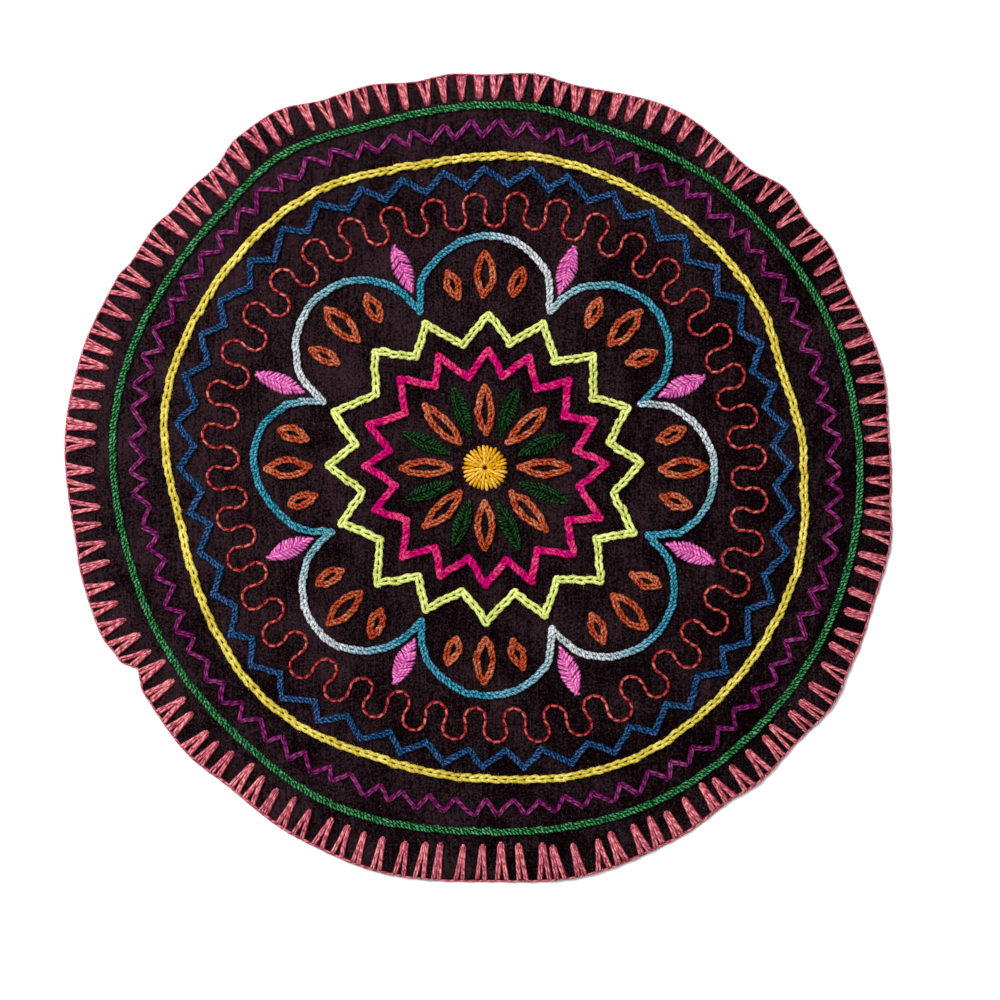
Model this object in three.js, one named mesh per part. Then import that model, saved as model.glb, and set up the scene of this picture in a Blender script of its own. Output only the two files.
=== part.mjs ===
// Round embroidered rug: a disc of black cotton cloth, cut by hand so that its edge is uneven,
// edged with pink closed blanket stitch and embroidered in yarn with rings, zigzags and leaves.
// Millimetres, +Z up. The rug lies flat on Z = 0, with its origin at the middle of its underside.
import * as THREE from "three";

// Driving dimensions
const CLOTH_THICKNESS = 1.5;
const YARN_GAP = 0.3; // air between the cloth and the yarn that lies on it
const YARN_FLOOR = CLOTH_THICKNESS + YARN_GAP;
const RING_CENTRE = { x: 3.39, y: 4.71 }; // where all the rings are centred, from the middle of the rug
const FULL_TURN = 360;

// The edge of the finished rug seen from the rings' centre: a row for each crest and dip of the cut.
const EDGE_WAVES = [
  { bearing: 5, reach: 203.0 },
  { bearing: 14, reach: 205.0 },
  { bearing: 26, reach: 203.0 },
  { bearing: 33, reach: 205.5 },
  { bearing: 37.5, reach: 203.5 },
  { bearing: 42.5, reach: 205.5 },
  { bearing: 49, reach: 200.0 },
  { bearing: 61, reach: 203.0 },
  { bearing: 77, reach: 197.0 },
  { bearing: 82.5, reach: 199.0 },
  { bearing: 90, reach: 197.0 },
  { bearing: 95, reach: 198.0 },
  { bearing: 100, reach: 196.5 },
  { bearing: 108, reach: 200.3 },
  { bearing: 112.5, reach: 200.8 },
  { bearing: 121, reach: 207.0 },
  { bearing: 127, reach: 206.5 },
  { bearing: 132, reach: 202.2 },
  { bearing: 137, reach: 203.2 },
  { bearing: 140, reach: 202.5 },
  { bearing: 144, reach: 204.8 },
  { bearing: 149.5, reach: 204.8 },
  { bearing: 152.5, reach: 207.4 },
  { bearing: 165, reach: 210.0 },
  { bearing: 174, reach: 210.8 },
  { bearing: 190, reach: 208.2 },
  { bearing: 195, reach: 209.3 },
  { bearing: 203, reach: 209.4 },
  { bearing: 208.2, reach: 206.4 },
  { bearing: 209.8, reach: 201.0 },
  { bearing: 213.5, reach: 204.8 },
  { bearing: 224, reach: 206.5 },
  { bearing: 231, reach: 204.8 },
  { bearing: 243, reach: 207.6 },
  { bearing: 255, reach: 209.0 },
  { bearing: 270, reach: 207.0 },
  { bearing: 284, reach: 210.2 },
  { bearing: 298, reach: 208.9 },
  { bearing: 306, reach: 206.9 },
  { bearing: 311, reach: 209.0 },
  { bearing: 318, reach: 208.0 },
  { bearing: 326, reach: 210.8 },
  { bearing: 332, reach: 208.2 },
  { bearing: 342, reach: 206.0 },
  { bearing: 349, reach: 206.5 },
  { bearing: 356, reach: 203.7 },
];

// The two chain-stitched rings, drawn by hand: a row for each place where a ring swells or draws in.
const GREEN_RING = [
  { bearing: 20, radius: 186.5 },
  { bearing: 48, radius: 183.0 },
  { bearing: 71, radius: 179.5 },
  { bearing: 82, radius: 181.5 },
  { bearing: 105, radius: 179.8 },
  { bearing: 124, radius: 186.0 },
  { bearing: 138, radius: 183.0 },
  { bearing: 170, radius: 186.5 },
  { bearing: 198, radius: 183.0 },
  { bearing: 228, radius: 182.3 },
  { bearing: 244, radius: 184.5 },
  { bearing: 268, radius: 181.5 },
  { bearing: 304, radius: 187.5 },
  { bearing: 330, radius: 188.5 },
];
const YELLOW_RING = [
  { bearing: 2, radius: 159.0 },
  { bearing: 18, radius: 156.0 },
  { bearing: 31, radius: 159.5 },
  { bearing: 75, radius: 157.3 },
  { bearing: 100, radius: 154.5 },
  { bearing: 127, radius: 162.5 },
  { bearing: 165, radius: 163.0 },
  { bearing: 193, radius: 154.3 },
  { bearing: 227, radius: 159.5 },
  { bearing: 252, radius: 154.0 },
  { bearing: 266, radius: 154.8 },
  { bearing: 303, radius: 163.5 },
  { bearing: 339, radius: 164.0 },
];
const YELLOW_RADIUS = 158.5; // the yellow ring's mean, which the medallion inside it is drawn to

// How each kind of sewn line stands on the cloth
const GREEN_CHAIN = { width: 4.0, height: 1.7 };
const YELLOW_CHAIN = { width: 4.6, height: 2.0 };
const MOTIF_CHAIN = { width: 4.0, height: 1.8 };
const VIOLET_STRAND = { width: 2.4, height: 1.4 };
const RED_STRAND = { width: 1.8, height: 1.2 };
const RING_STATIONS = 96;

// The blanket stitch along the edge: pairs of straight strands that meet in a point
const EDGE_STITCHES = 125;
const EDGE_STRAND = 2.2; // across one strand
const LEAST_SLIT = 1.2; // a pair that leaves less than this between its strands is closed
const EDGE_HEIGHT = 1.4;
const SLIT_SHARE = 0.55; // of a pair's depth, where its two strands stand apart
const PURL_WIDTH = 2.4; // the strand that runs along the rim and ties the pairs together
const CLOTH_INSET = 1.2; // the cloth ends this far inside the finished edge
const POINT_CLEARANCE = 3.2; // between the pairs' points and the middle of the green ring
const RIM_STATIONS = 360;
// How deep a pair reaches in from the rim, and how wide it is at its foot and at its point
const EDGE_ZONES = [
  { bearing: 0, depth: 15.0, foot: 6.6, point: 2.4 },
  { bearing: 40, depth: 14.8, foot: 6.4, point: 2.4 },
  { bearing: 90, depth: 14.5, foot: 6.2, point: 2.2 },
  { bearing: 135, depth: 16.0, foot: 6.6, point: 2.4 },
  { bearing: 185, depth: 15.0, foot: 6.8, point: 2.2 },
  { bearing: 232, depth: 16.0, foot: 6.4, point: 2.6 },
  { bearing: 268, depth: 19.5, foot: 5.8, point: 2.6 },
  { bearing: 300, depth: 15.5, foot: 6.6, point: 2.6 },
  { bearing: 325, depth: 15.5, foot: 5.8, point: 3.2 },
  { bearing: 345, depth: 14.5, foot: 5.2, point: 3.6 },
  { bearing: 352, depth: 14.8, foot: 6.2, point: 2.6 },
];

// The straight stitches that zigzag between the green ring and the yellow one. A slip is how far a point
// may miss its place, as a share of the way to the next one, or of the swing.
const VIOLET_ZIGZAG = { points: 78, swing: 3.8, outward: 1.2, slip: 0.14, swingSlip: 0.22 };

// The medallion: how far its motifs reach from the rings' centre, where the yellow ring is at its mean
const BLUE_ZIGZAG = { points: 44, inner: 144.0, outer: 152.3, slip: 0.1 };
const LIME_ZIGZAG = { points: 16, inner: 64.0, outer: 78.0, slip: 0.1 };
const ROSE_ZIGZAG = { points: 16, inner: 47.0, outer: 60.0, slip: 0.1 };
const RED_MEANDER = { bends: 80, radius: 131.0, stepsPerBend: 4 };
const BEND_HALF_SWEEP = THREE.MathUtils.degToRad(120); // from a bend's crown to either of its ends
const PETALS = { count: 8, valley: 85.0, tip: 116.0, roundness: 0.6, unevenness: 2.0 };
const GOLD_HEART = { radius: 11.0, sides: 14, rows: 6 };
const LEAF_COUNT = 8; // in each ring of leaves
const LEAF_RINGS = [
  { name: "orange_heart_leaf", first: 0, from: 16, to: 43, width: 10.5, splay: 0, filled: false },
  { name: "orange_petal_leaf", first: 0, from: 86, to: 111, width: 12.0, splay: 0, filled: false },
  { name: "orange_left_leaf", first: 10, from: 86.5, to: 103.5, width: 9.5, splay: 10, filled: false },
  { name: "orange_right_leaf", first: -10, from: 86.5, to: 103.5, width: 9.5, splay: -10, filled: false },
  { name: "green_leaf", first: 22.5, from: 18, to: 43, width: 9.0, splay: 0, filled: true },
  { name: "pink_leaf", first: 22.5, from: 95, to: 120, width: 11.0, splay: 0, filled: true },
];
const LEAF_LEAN = 4; // degrees that a hand-sewn leaf may turn from its true direction
const LEAF_HEIGHT = 1.8;
const LEAF_WALL = 3.1; // across the line that outlines an open leaf
const LEAF_TIP = 4.6; // how far an open leaf's hole stays from its points

// Yarn and cloth colours
const COLOURS = {
  cloth: "#1d1519",
  edge: "#d66f7d",
  green: "#14783e",
  violet: "#7a2083",
  yellow: "#e2cd34",
  blue: "#1b5aa6",
  turquoise: "#3ba0bd",
  lime: "#d8ec66",
  rose: "#ea1c78",
  red: "#bf4034",
  gold: "#f0b01e",
  orange_heart_leaf: "#c8562a",
  orange_petal_leaf: "#c8562a",
  orange_left_leaf: "#c8562a",
  orange_right_leaf: "#c8562a",
  green_leaf: "#15482a",
  pink_leaf: "#dc5cb5",
};
const CLOTH_ROUGHNESS = 0.95;
const YARN_ROUGHNESS = 0.85;

// Repeatable hand-sewn unevenness, from -1 to 1
function uneven(seed) {
  const wave = Math.sin(seed * 12.9898) * 43758.5453;
  return 2 * (wave - Math.floor(wave)) - 1;
}

// A table's column at a bearing, smooth from each row to the next and round the circle
function levelAt(rows, column, bearing) {
  const turn = THREE.MathUtils.euclideanModulo(bearing, FULL_TURN);
  const found = rows.findIndex((row) => row.bearing > turn);
  const next = found < 0 ? 0 : found;
  const last = (next + rows.length - 1) % rows.length;
  const around = (to) => THREE.MathUtils.euclideanModulo(to - rows[last].bearing, FULL_TURN);
  const share = around(turn) / around(rows[next].bearing);
  const eased = THREE.MathUtils.smoothstep(share, 0, 1);
  return THREE.MathUtils.lerp(rows[last][column], rows[next][column], eased);
}

const reachAt = (bearing) => levelAt(EDGE_WAVES, "reach", bearing);
const greenAt = (bearing) => levelAt(GREEN_RING, "radius", bearing);
const yellowAt = (bearing) => levelAt(YELLOW_RING, "radius", bearing);

// A point on the cloth, by its bearing and its distance from the rings' centre
function at(bearing, radius) {
  const angle = THREE.MathUtils.degToRad(bearing);
  return new THREE.Vector2(
    RING_CENTRE.x + radius * Math.cos(angle),
    RING_CENTRE.y + radius * Math.sin(angle),
  );
}

// A point of the medallion, which follows the yellow ring where that swells or draws in
function inMedallion(bearing, radius) {
  return at(bearing, (radius * yellowAt(bearing)) / YELLOW_RADIUS);
}

// Points round the circle, one for each equal step
function round(steps, pointAt) {
  return Array.from({ length: steps }, (_, step) => pointAt((step * FULL_TURN) / steps, step));
}

// Sections of a sewn line: across its width and up its height. A chain has a row of loops on each side.
const CHAIN_SECTION = [
  { across: -0.5, up: 0 },
  { across: -0.27, up: 1 },
  { across: 0, up: 0.6 },
  { across: 0.27, up: 1 },
  { across: 0.5, up: 0 },
];
const STRAND_SECTION = [
  { across: -0.5, up: 0 },
  { across: 0, up: 1 },
  { across: 0.5, up: 0 },
];
const LEAST_MITRE = 0.62; // keeps a sharp corner from running out in a spike

// A closed sewn line along a path that runs anticlockwise
function sewnLoop(path, section, size) {
  const direction = (from, to) => path[to % path.length].clone().sub(path[from % path.length]).normalize();
  const positions = [];
  path.forEach((point, station) => {
    const before = direction(station + path.length - 1, station);
    const after = direction(station, station + 1);
    const outward = before.clone().add(after).normalize();
    const mitre = Math.max(outward.dot(before), LEAST_MITRE);
    for (const { across, up } of section) {
      const offset = (across * size.width) / mitre;
      positions.push(
        point.x + outward.y * offset,
        point.y - outward.x * offset,
        YARN_FLOOR + up * size.height,
      );
    }
  });
  const corner = (station, side) =>
    (station % path.length) * section.length + (side % section.length);
  const triangles = [];
  for (let station = 0; station < path.length; station++) {
    for (let side = 0; side < section.length; side++) {
      const [a, b] = [corner(station, side), corner(station, side + 1)];
      const [c, d] = [corner(station + 1, side + 1), corner(station + 1, side)];
      triangles.push(a, b, c, a, c, d);
    }
  }
  const geometry = new THREE.BufferGeometry();
  geometry.setAttribute("position", new THREE.Float32BufferAttribute(positions, 3));
  geometry.setIndex(triangles);
  geometry.computeVertexNormals();
  return geometry;
}

// The cloth: one flat sheet with the uneven outline of its cut
function clothSheet() {
  const rim = round(RIM_STATIONS, (bearing) => at(bearing, reachAt(bearing) - CLOTH_INSET));
  return new THREE.ExtrudeGeometry(new THREE.Shape(rim), {
    depth: CLOTH_THICKNESS,
    bevelEnabled: false,
  });
}

// Where one pair of blanket stitches stands, how it leans, and its widths and depth
function edgePair(index) {
  const step = FULL_TURN / EDGE_STITCHES;
  const bearing = (index + 0.5 + 0.14 * uneven(index)) * step;
  const room = reachAt(bearing) - greenAt(bearing) - POINT_CLEARANCE;
  const zone = (column) => levelAt(EDGE_ZONES, column, bearing);
  const crowding = 1 - Math.abs(uneven(index)) / 2;
  return {
    bearing,
    lean: 0.14 * step * uneven(index + 200),
    foot: zone("foot") * (1 + 0.32 * uneven(index + 400) * crowding),
    point: zone("point") * (1 + 0.2 * uneven(index + 500)),
    depth: Math.min(zone("depth") * (1 + 0.08 * uneven(index + 600)), room),
  };
}

// The blanket stitch: the purl along the rim, with each pair of strands reaching in to a point
function edgeStitching() {
  const rim = new THREE.Shape(round(RIM_STATIONS, (bearing) => at(bearing, reachAt(bearing))));
  const inner = [];
  for (let index = 0; index < EDGE_STITCHES; index++) {
    const { bearing, lean, foot, point, depth } = edgePair(index);
    const degreesPerMillimetre = FULL_TURN / (2 * Math.PI * reachAt(bearing));
    const inside = (turn, inset) => at(turn, reachAt(turn) - inset);
    const halfFoot = (foot / 2) * degreesPerMillimetre;
    const halfPoint = (point / 2) * degreesPerMillimetre;
    const slit = halfFoot - EDGE_STRAND * degreesPerMillimetre;
    inner.push(
      inside(bearing - halfFoot, PURL_WIDTH),
      inside(bearing + lean - halfPoint, depth),
      inside(bearing + lean + halfPoint, depth),
      inside(bearing + halfFoot, PURL_WIDTH),
    );
    const opening = [
      inside(bearing - slit, PURL_WIDTH),
      inside(bearing + lean * SLIT_SHARE, PURL_WIDTH + (depth - PURL_WIDTH) * SLIT_SHARE),
      inside(bearing + slit, PURL_WIDTH),
    ];
    if (foot - 2 * EDGE_STRAND > LEAST_SLIT) {
      rim.holes.push(new THREE.Path(opening));
    }
  }
  rim.holes.push(new THREE.Path(inner));
  const geometry = new THREE.ExtrudeGeometry(rim, { depth: EDGE_HEIGHT, bevelEnabled: false });
  return geometry.translate(0, 0, YARN_FLOOR);
}

// A ring of zigzag between two radii, with its points as uneven as they are sewn
function zigzag({ points, inner, outer, slip }, place) {
  return round(points * 2, (bearing, step) => {
    const turn = (slip * uneven(step + points) * FULL_TURN) / points;
    return place(bearing + turn, step % 2 ? inner : outer, step);
  });
}

// The violet zigzag keeps to the middle of the band between the two chain-stitched rings
function violetZigzag() {
  const { points, swing, outward, slip, swingSlip } = VIOLET_ZIGZAG;
  const middle = (bearing) => (greenAt(bearing) + yellowAt(bearing)) / 2 + outward;
  const sway = { points, inner: -swing, outer: swing, slip };
  return zigzag(sway, (bearing, side, step) =>
    at(bearing, middle(bearing) + side * (1 + swingSlip * uneven(step + 300))),
  );
}

// A ring of three-quarter bends that swing outward and inward in turn, each running on into the next
function redMeander() {
  const { bends, radius, stepsPerBend } = RED_MEANDER;
  const pitch = (2 * Math.PI * radius) / bends;
  const bendRadius = pitch / 2 / Math.sin(BEND_HALF_SWEEP);
  const path = [];
  for (let bend = 0; bend < bends; bend++) {
    const side = bend % 2 ? -1 : 1;
    for (let step = 0; step < stepsPerBend; step++) {
      const swing = (2 * step / stepsPerBend - 1) * BEND_HALF_SWEEP;
      const along = (bend + 0.5) * pitch + bendRadius * Math.sin(swing);
      const away = side * bendRadius * (Math.cos(swing) - Math.cos(BEND_HALF_SWEEP));
      path.push(inMedallion((along * FULL_TURN) / (bends * pitch), radius + away));
    }
  }
  return path;
}

// The flower's outline: round petals that meet in sharp valleys, no two of them quite alike
function petalOutline() {
  const { count, valley, tip, roundness, unevenness } = PETALS;
  return round(RING_STATIONS, (bearing) => {
    const swell = Math.abs(Math.cos(THREE.MathUtils.degToRad((bearing * count) / 2)));
    const petal = Math.round((bearing * count) / FULL_TURN) % count;
    const height = tip - valley + unevenness * uneven(petal + 800);
    return inMedallion(bearing, valley + height * swell ** roundness);
  });
}

// A pointed leaf, lying along X about the origin
function leafShape(length, width) {
  const leaf = new THREE.Shape();
  leaf.moveTo(-length / 2, 0);
  leaf.quadraticCurveTo(0, -width, length / 2, 0);
  leaf.quadraticCurveTo(0, width, -length / 2, 0);
  return leaf;
}

// A leaf that is only outlined, with the cloth showing inside it
function openLeaf(length, width) {
  const leaf = leafShape(length, width);
  leaf.holes.push(leafShape(length - 2 * LEAF_TIP, width - 2 * LEAF_WALL));
  return new THREE.ExtrudeGeometry(leaf, { depth: LEAF_HEIGHT, bevelEnabled: false, curveSegments: 5 });
}

// A leaf filled with slanting stitches: a flattened spindle, thickest along its midrib
function filledLeaf(length, width) {
  const steps = 6;
  const profile = Array.from({ length: steps + 1 }, (_, step) => {
    const along = (2 * step) / steps - 1;
    return new THREE.Vector2((width / 2) * (1 - along * along), (along * length) / 2);
  });
  const spindle = new THREE.LatheGeometry(profile, 6);
  spindle.rotateZ(-Math.PI / 2).scale(1, 1, LEAF_HEIGHT / width);
  return spindle.translate(0, 0, LEAF_HEIGHT / 2);
}

// The flower's heart: a low round cushion of stitches
function goldHeart() {
  const { radius, sides, rows } = GOLD_HEART;
  const cushion = new THREE.SphereGeometry(radius, sides, rows);
  cushion.rotateX(Math.PI / 2).scale(1, 1, LEAF_HEIGHT / (2 * radius));
  return cushion.translate(RING_CENTRE.x, RING_CENTRE.y, YARN_FLOOR + LEAF_HEIGHT / 2);
}

function sewnMesh(name, geometry, colour, roughness = YARN_ROUGHNESS) {
  const material = new THREE.MeshStandardMaterial({ color: colour, roughness, metalness: 0 });
  const mesh = new THREE.Mesh(geometry, material);
  mesh.name = name;
  return mesh;
}

// The border: the edge stitching and the rings that frame the medallion
function border() {
  const group = new THREE.Group();
  const green = round(RING_STATIONS, (bearing) => at(bearing, greenAt(bearing)));
  const yellow = round(RING_STATIONS, (bearing) => at(bearing, yellowAt(bearing)));
  const violet = sewnLoop(violetZigzag(), STRAND_SECTION, VIOLET_STRAND);
  group.add(
    sewnMesh("edge_stitching", edgeStitching(), COLOURS.edge),
    sewnMesh("green_ring", sewnLoop(green, CHAIN_SECTION, GREEN_CHAIN), COLOURS.green),
    sewnMesh("violet_zigzag", violet, COLOURS.violet),
    sewnMesh("yellow_ring", sewnLoop(yellow, CHAIN_SECTION, YELLOW_CHAIN), COLOURS.yellow),
  );
  return group;
}

// One leaf of a ring of leaves, leaning a little as a hand-sewn leaf does
function leaf({ name, first, from, to, width, splay, filled }, index, seed) {
  const bearing = first + (index * FULL_TURN) / LEAF_COUNT;
  const foot = inMedallion(bearing, from);
  const tip = inMedallion(bearing, to);
  const makeLeaf = filled ? filledLeaf : openLeaf;
  const mesh = sewnMesh(`${name}_${index + 1}`, makeLeaf(foot.distanceTo(tip), width), COLOURS[name]);
  const middle = foot.lerp(tip, 0.5);
  mesh.position.set(middle.x, middle.y, YARN_FLOOR);
  mesh.rotation.z = THREE.MathUtils.degToRad(bearing + splay + LEAF_LEAN * uneven(seed + 900));
  return mesh;
}

// The medallion inside the yellow ring: zigzag rings, a meander and a flower of leaves
function medallion() {
  const group = new THREE.Group();
  const chain = (name, path, colour) =>
    group.add(sewnMesh(name, sewnLoop(path, CHAIN_SECTION, MOTIF_CHAIN), colour));
  chain("blue_zigzag", zigzag(BLUE_ZIGZAG, inMedallion), COLOURS.blue);
  chain("lime_zigzag", zigzag(LIME_ZIGZAG, inMedallion), COLOURS.lime);
  chain("rose_zigzag", zigzag(ROSE_ZIGZAG, inMedallion), COLOURS.rose);
  chain("petal_outline", petalOutline(), COLOURS.turquoise);
  group.add(
    sewnMesh("red_meander", sewnLoop(redMeander(), STRAND_SECTION, RED_STRAND), COLOURS.red),
    sewnMesh("gold_heart", goldHeart(), COLOURS.gold),
  );
  LEAF_RINGS.forEach((ring, ringIndex) => {
    for (let index = 0; index < LEAF_COUNT; index++) {
      group.add(leaf(ring, index, ringIndex * LEAF_COUNT + index));
    }
  });
  return group;
}

const rug = new THREE.Group();
rug.name = "embroidered_rug";
rug.add(sewnMesh("cloth", clothSheet(), COLOURS.cloth, CLOTH_ROUGHNESS), border(), medallion());

export default rug;
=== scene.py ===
# %% [markdown]
# # A round embroidered rug
# The real thing is a disc of black cotton, cut out by hand and sewn all over with coloured yarn.
# The solids from the modelling step hold its true outline and the course of every line of stitches.
# This lesson dresses them: a thin uneven cloth, rows of real chain links, straight stitches and
# some lint.

# %% Load the solids that the stitches follow
import math
from collections import namedtuple

import bpy
import numpy as np
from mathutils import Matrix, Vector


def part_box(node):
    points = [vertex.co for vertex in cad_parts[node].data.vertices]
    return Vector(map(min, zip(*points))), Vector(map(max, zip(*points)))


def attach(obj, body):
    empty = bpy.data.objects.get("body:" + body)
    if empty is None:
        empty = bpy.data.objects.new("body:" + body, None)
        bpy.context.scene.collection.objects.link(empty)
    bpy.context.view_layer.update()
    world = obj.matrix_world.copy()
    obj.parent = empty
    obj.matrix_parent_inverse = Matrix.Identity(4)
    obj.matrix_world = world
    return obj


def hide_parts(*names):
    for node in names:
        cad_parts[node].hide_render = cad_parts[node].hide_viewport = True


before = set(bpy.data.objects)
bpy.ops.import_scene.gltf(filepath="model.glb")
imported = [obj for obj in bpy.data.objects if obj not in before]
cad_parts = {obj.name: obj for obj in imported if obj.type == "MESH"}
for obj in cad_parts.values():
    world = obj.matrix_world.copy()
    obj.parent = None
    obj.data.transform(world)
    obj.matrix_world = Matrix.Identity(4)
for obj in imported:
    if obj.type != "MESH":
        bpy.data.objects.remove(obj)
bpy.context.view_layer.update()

MM = 0.001
TURN = 2 * math.pi

# %% [markdown]
# ## Reading the sewn lines back from the solids
# Each solid is a plain stand-in for a row of stitches, so its corner points already hold the line
# that the needle took. The lines could be typed in again, but then two files would have to agree. A
# chain's ridge has a groove along its middle and a single strand has a crest, so the points at that
# one height, put in order round the centre of the rings, are the line itself.

# %% Read a ring's line, and its radius at any bearing
CENTRE = np.array(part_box("gold_heart")).mean(axis=0)[:2]
CHAIN_GROOVE = 0.6  # how far up a chain's solid its middle groove lies
STRAND_CREST = 1.0  # a strand's line, and the cloth's rim, lie at the top of their solids
SAME_HEIGHT = 0.02 * MM
SAME_PLACE = 6  # decimals of a metre to which the corners of neighbouring triangles agree


def bearings(points):
    return np.arctan2(points[:, 1] - CENTRE[1], points[:, 0] - CENTRE[0]) % TURN


def node_points(node):
    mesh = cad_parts[node].data
    points = np.empty(3 * len(mesh.vertices))
    mesh.vertices.foreach_get("co", points)
    return np.unique(np.round(points.reshape(-1, 3), SAME_PLACE), axis=0)


def sewn_line(node, share_of_height):
    points = node_points(node)
    low, high = points[:, 2].min(), points[:, 2].max()
    height = low + share_of_height * (high - low)
    line = points[np.abs(points[:, 2] - height) < SAME_HEIGHT][:, :2]
    return line[np.argsort(bearings(line))]


def smooth_between(first, last, first_slope, last_slope, share):
    """A curve from one knot to the next that has the given slopes at them."""
    rest = 1 - share
    near = (first * (1 + 2 * share) + first_slope * share) * rest**2
    far = (last * (1 + 2 * rest) - last_slope * rest) * share**2
    return near + far


def radius_function(line):
    """The radius at any bearing, as a smooth curve through a ring's points."""
    turns = bearings(line)
    radii = np.hypot(*(line - CENTRE).T)
    # the ring laps over itself a little at both ends, so that the curve closes smoothly
    knots = np.concatenate([turns[-2:] - TURN, turns, turns[:3] + TURN])
    values = np.concatenate([radii[-2:], radii, radii[:3]])
    slopes = np.gradient(values, knots)

    def radius_at(bearing):
        bearing = np.mod(bearing, TURN)
        spot = np.searchsorted(knots, bearing, side="right") - 1
        step = knots[spot + 1] - knots[spot]
        share = (bearing - knots[spot]) / step
        ends = slopes[spot] * step, slopes[spot + 1] * step
        return smooth_between(values[spot], values[spot + 1], *ends, share)

    return radius_at


rim_at = radius_function(sewn_line("cloth", STRAND_CREST))
green_at = radius_function(sewn_line("green_ring", CHAIN_GROOVE))
yellow_at = radius_function(sewn_line("yellow_ring", CHAIN_GROOVE))
print("centre of the rings:", CENTRE, "rim to the right:", rim_at(0.0))

# %% [markdown]
# ## The lie of the cloth
# A hand-sewn cloth never lies dead flat. Its cut edge lifts where the stitches have stretched it,
# soft creases cross it, and the rows of stitches draw it down and leave it puffed beside them. A
# cloth simulation would give folds of its own choosing, so the lifts are given as rows of a table.
# One function gives the lift at any spot, and both the cloth and every stitch on it use that
# function.

# %% Place the ripples and creases
SHEET_THICKNESS = 0.8 * MM
SHEET_FLOOR = 0.45 * MM  # room below the cloth for the stitches on its reverse
SHEET_TOP = SHEET_FLOOR + SHEET_THICKNESS
EDGE_PAIRS = 125  # pairs of blanket stitches round the rim

Ripple = namedtuple("Ripple", "bearing_deg spread_deg lift_mm")
RIM_RIPPLES = (
    Ripple(14, 7, 0.9),
    Ripple(42, 5, 1.2),
    Ripple(61, 8, 0.8),
    Ripple(109, 7, 0.7),
    Ripple(124, 5, 1.6),
    Ripple(144, 5, 1.1),
    Ripple(170, 9, 1.0),
    Ripple(204, 4, 1.9),
    Ripple(224, 5, 1.0),
    Ripple(255, 9, 0.9),
    Ripple(284, 8, 0.8),
    Ripple(311, 6, 0.6),
    Ripple(327, 6, 0.8),
    Ripple(349, 6, 0.6),
)
RIPPLE_REACH = 22 * MM  # how far in from the rim a ripple fades

Crease = namedtuple("Crease", "bearing_deg radius_mm direction_deg length_mm width_mm lift_mm")
CREASES = (
    Crease(38, 100, 70, 45, 9, 0.7),
    Crease(85, 128, 10, 60, 8, 0.6),
    Crease(118, 70, 150, 40, 10, 0.7),
    Crease(160, 140, 80, 50, 9, 0.7),
    Crease(200, 95, 20, 55, 10, 0.6),
    Crease(233, 60, 100, 35, 9, 0.7),
    Crease(262, 120, 175, 60, 9, 0.6),
    Crease(300, 85, 45, 50, 10, 0.8),
    Crease(335, 130, 110, 45, 9, 0.7),
    Crease(10, 55, 95, 40, 9, 0.6),
    Crease(345, 172, 80, 30, 7, 0.6),
    Crease(140, 175, 50, 30, 7, 0.7),
    Crease(250, 176, 160, 34, 7, 0.6),
    Crease(70, 170, 160, 30, 7, 0.6),
)
STITCH_PULL = -0.35 * MM  # right under a ring of chain
STITCH_PUFF = 0.30 * MM  # beside it
PULL_WIDTH = 2.5 * MM
PUFF_WIDTH = 9.0 * MM
EDGE_PUCKER = 0.22 * MM  # between the pairs of edge stitches
PUCKER_REACH = 11 * MM
print("ripples:", len(RIM_RIPPLES), "creases:", len(CREASES))


# %% Work out the lift of the cloth at any spot
def bell(distance, width):
    return np.exp(-((distance / width) ** 2))


def cloth_lift(x, y):
    """How far the cloth's face at x, y stands above its general level."""
    across, away = x - CENTRE[0], y - CENTRE[1]
    radius = np.hypot(across, away)
    bearing = np.arctan2(away, across)
    inset = rim_at(bearing) - radius
    lift = EDGE_PUCKER * np.cos(EDGE_PAIRS * bearing) * bell(inset, PUCKER_REACH)
    for ripple in RIM_RIPPLES:
        turn = bearing - math.radians(ripple.bearing_deg)
        turn = (turn + math.pi) % TURN - math.pi
        fade = bell(inset, RIPPLE_REACH) * bell(turn, math.radians(ripple.spread_deg))
        lift = lift + ripple.lift_mm * MM * fade
    for crease in CREASES:
        middle = math.radians(crease.bearing_deg)
        east = across - crease.radius_mm * MM * math.cos(middle)
        north = away - crease.radius_mm * MM * math.sin(middle)
        run = math.radians(crease.direction_deg)
        along = east * math.cos(run) + north * math.sin(run)
        beside = north * math.cos(run) - east * math.sin(run)
        fade = bell(along, crease.length_mm * MM / 2) * bell(beside, crease.width_mm * MM / 2)
        lift = lift + crease.lift_mm * MM * fade
    for ring_at in (green_at, yellow_at):
        off = radius - ring_at(bearing)
        lift = lift + STITCH_PULL * bell(off, PULL_WIDTH) + STITCH_PUFF * bell(off, PUFF_WIDTH)
    return lift


def on_cloth(points, height=0.0):
    """Points on the cloth's face, or height above it."""
    points = np.asarray(points, dtype=float)
    face = SHEET_TOP + cloth_lift(points[:, 0], points[:, 1])
    return np.column_stack([points[:, 0], points[:, 1], face + height])


sample = cloth_lift(CENTRE[0] + np.linspace(-1, 1, 200) * rim_at(0.0), CENTRE[1])
print("cloth lifts from", sample.min() / MM, "to", sample.max() / MM, "mm across its middle")

# %% [markdown]
# ## Node trees in few words
# Each finish and each kind of stitch is a tree of nodes. In the editor a tree is dragged together
# by hand. Here every node is one call that gives its inputs, each a plain value or the socket that
# it is linked from. Most helpers return an output socket, so that calls can stand inside each other
# like sums on paper.

# %% Helpers that add nodes
COLOUR_A, COLOUR_B, COLOUR_RESULT = 6, 7, 2  # a mix node's sockets for colours


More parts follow.
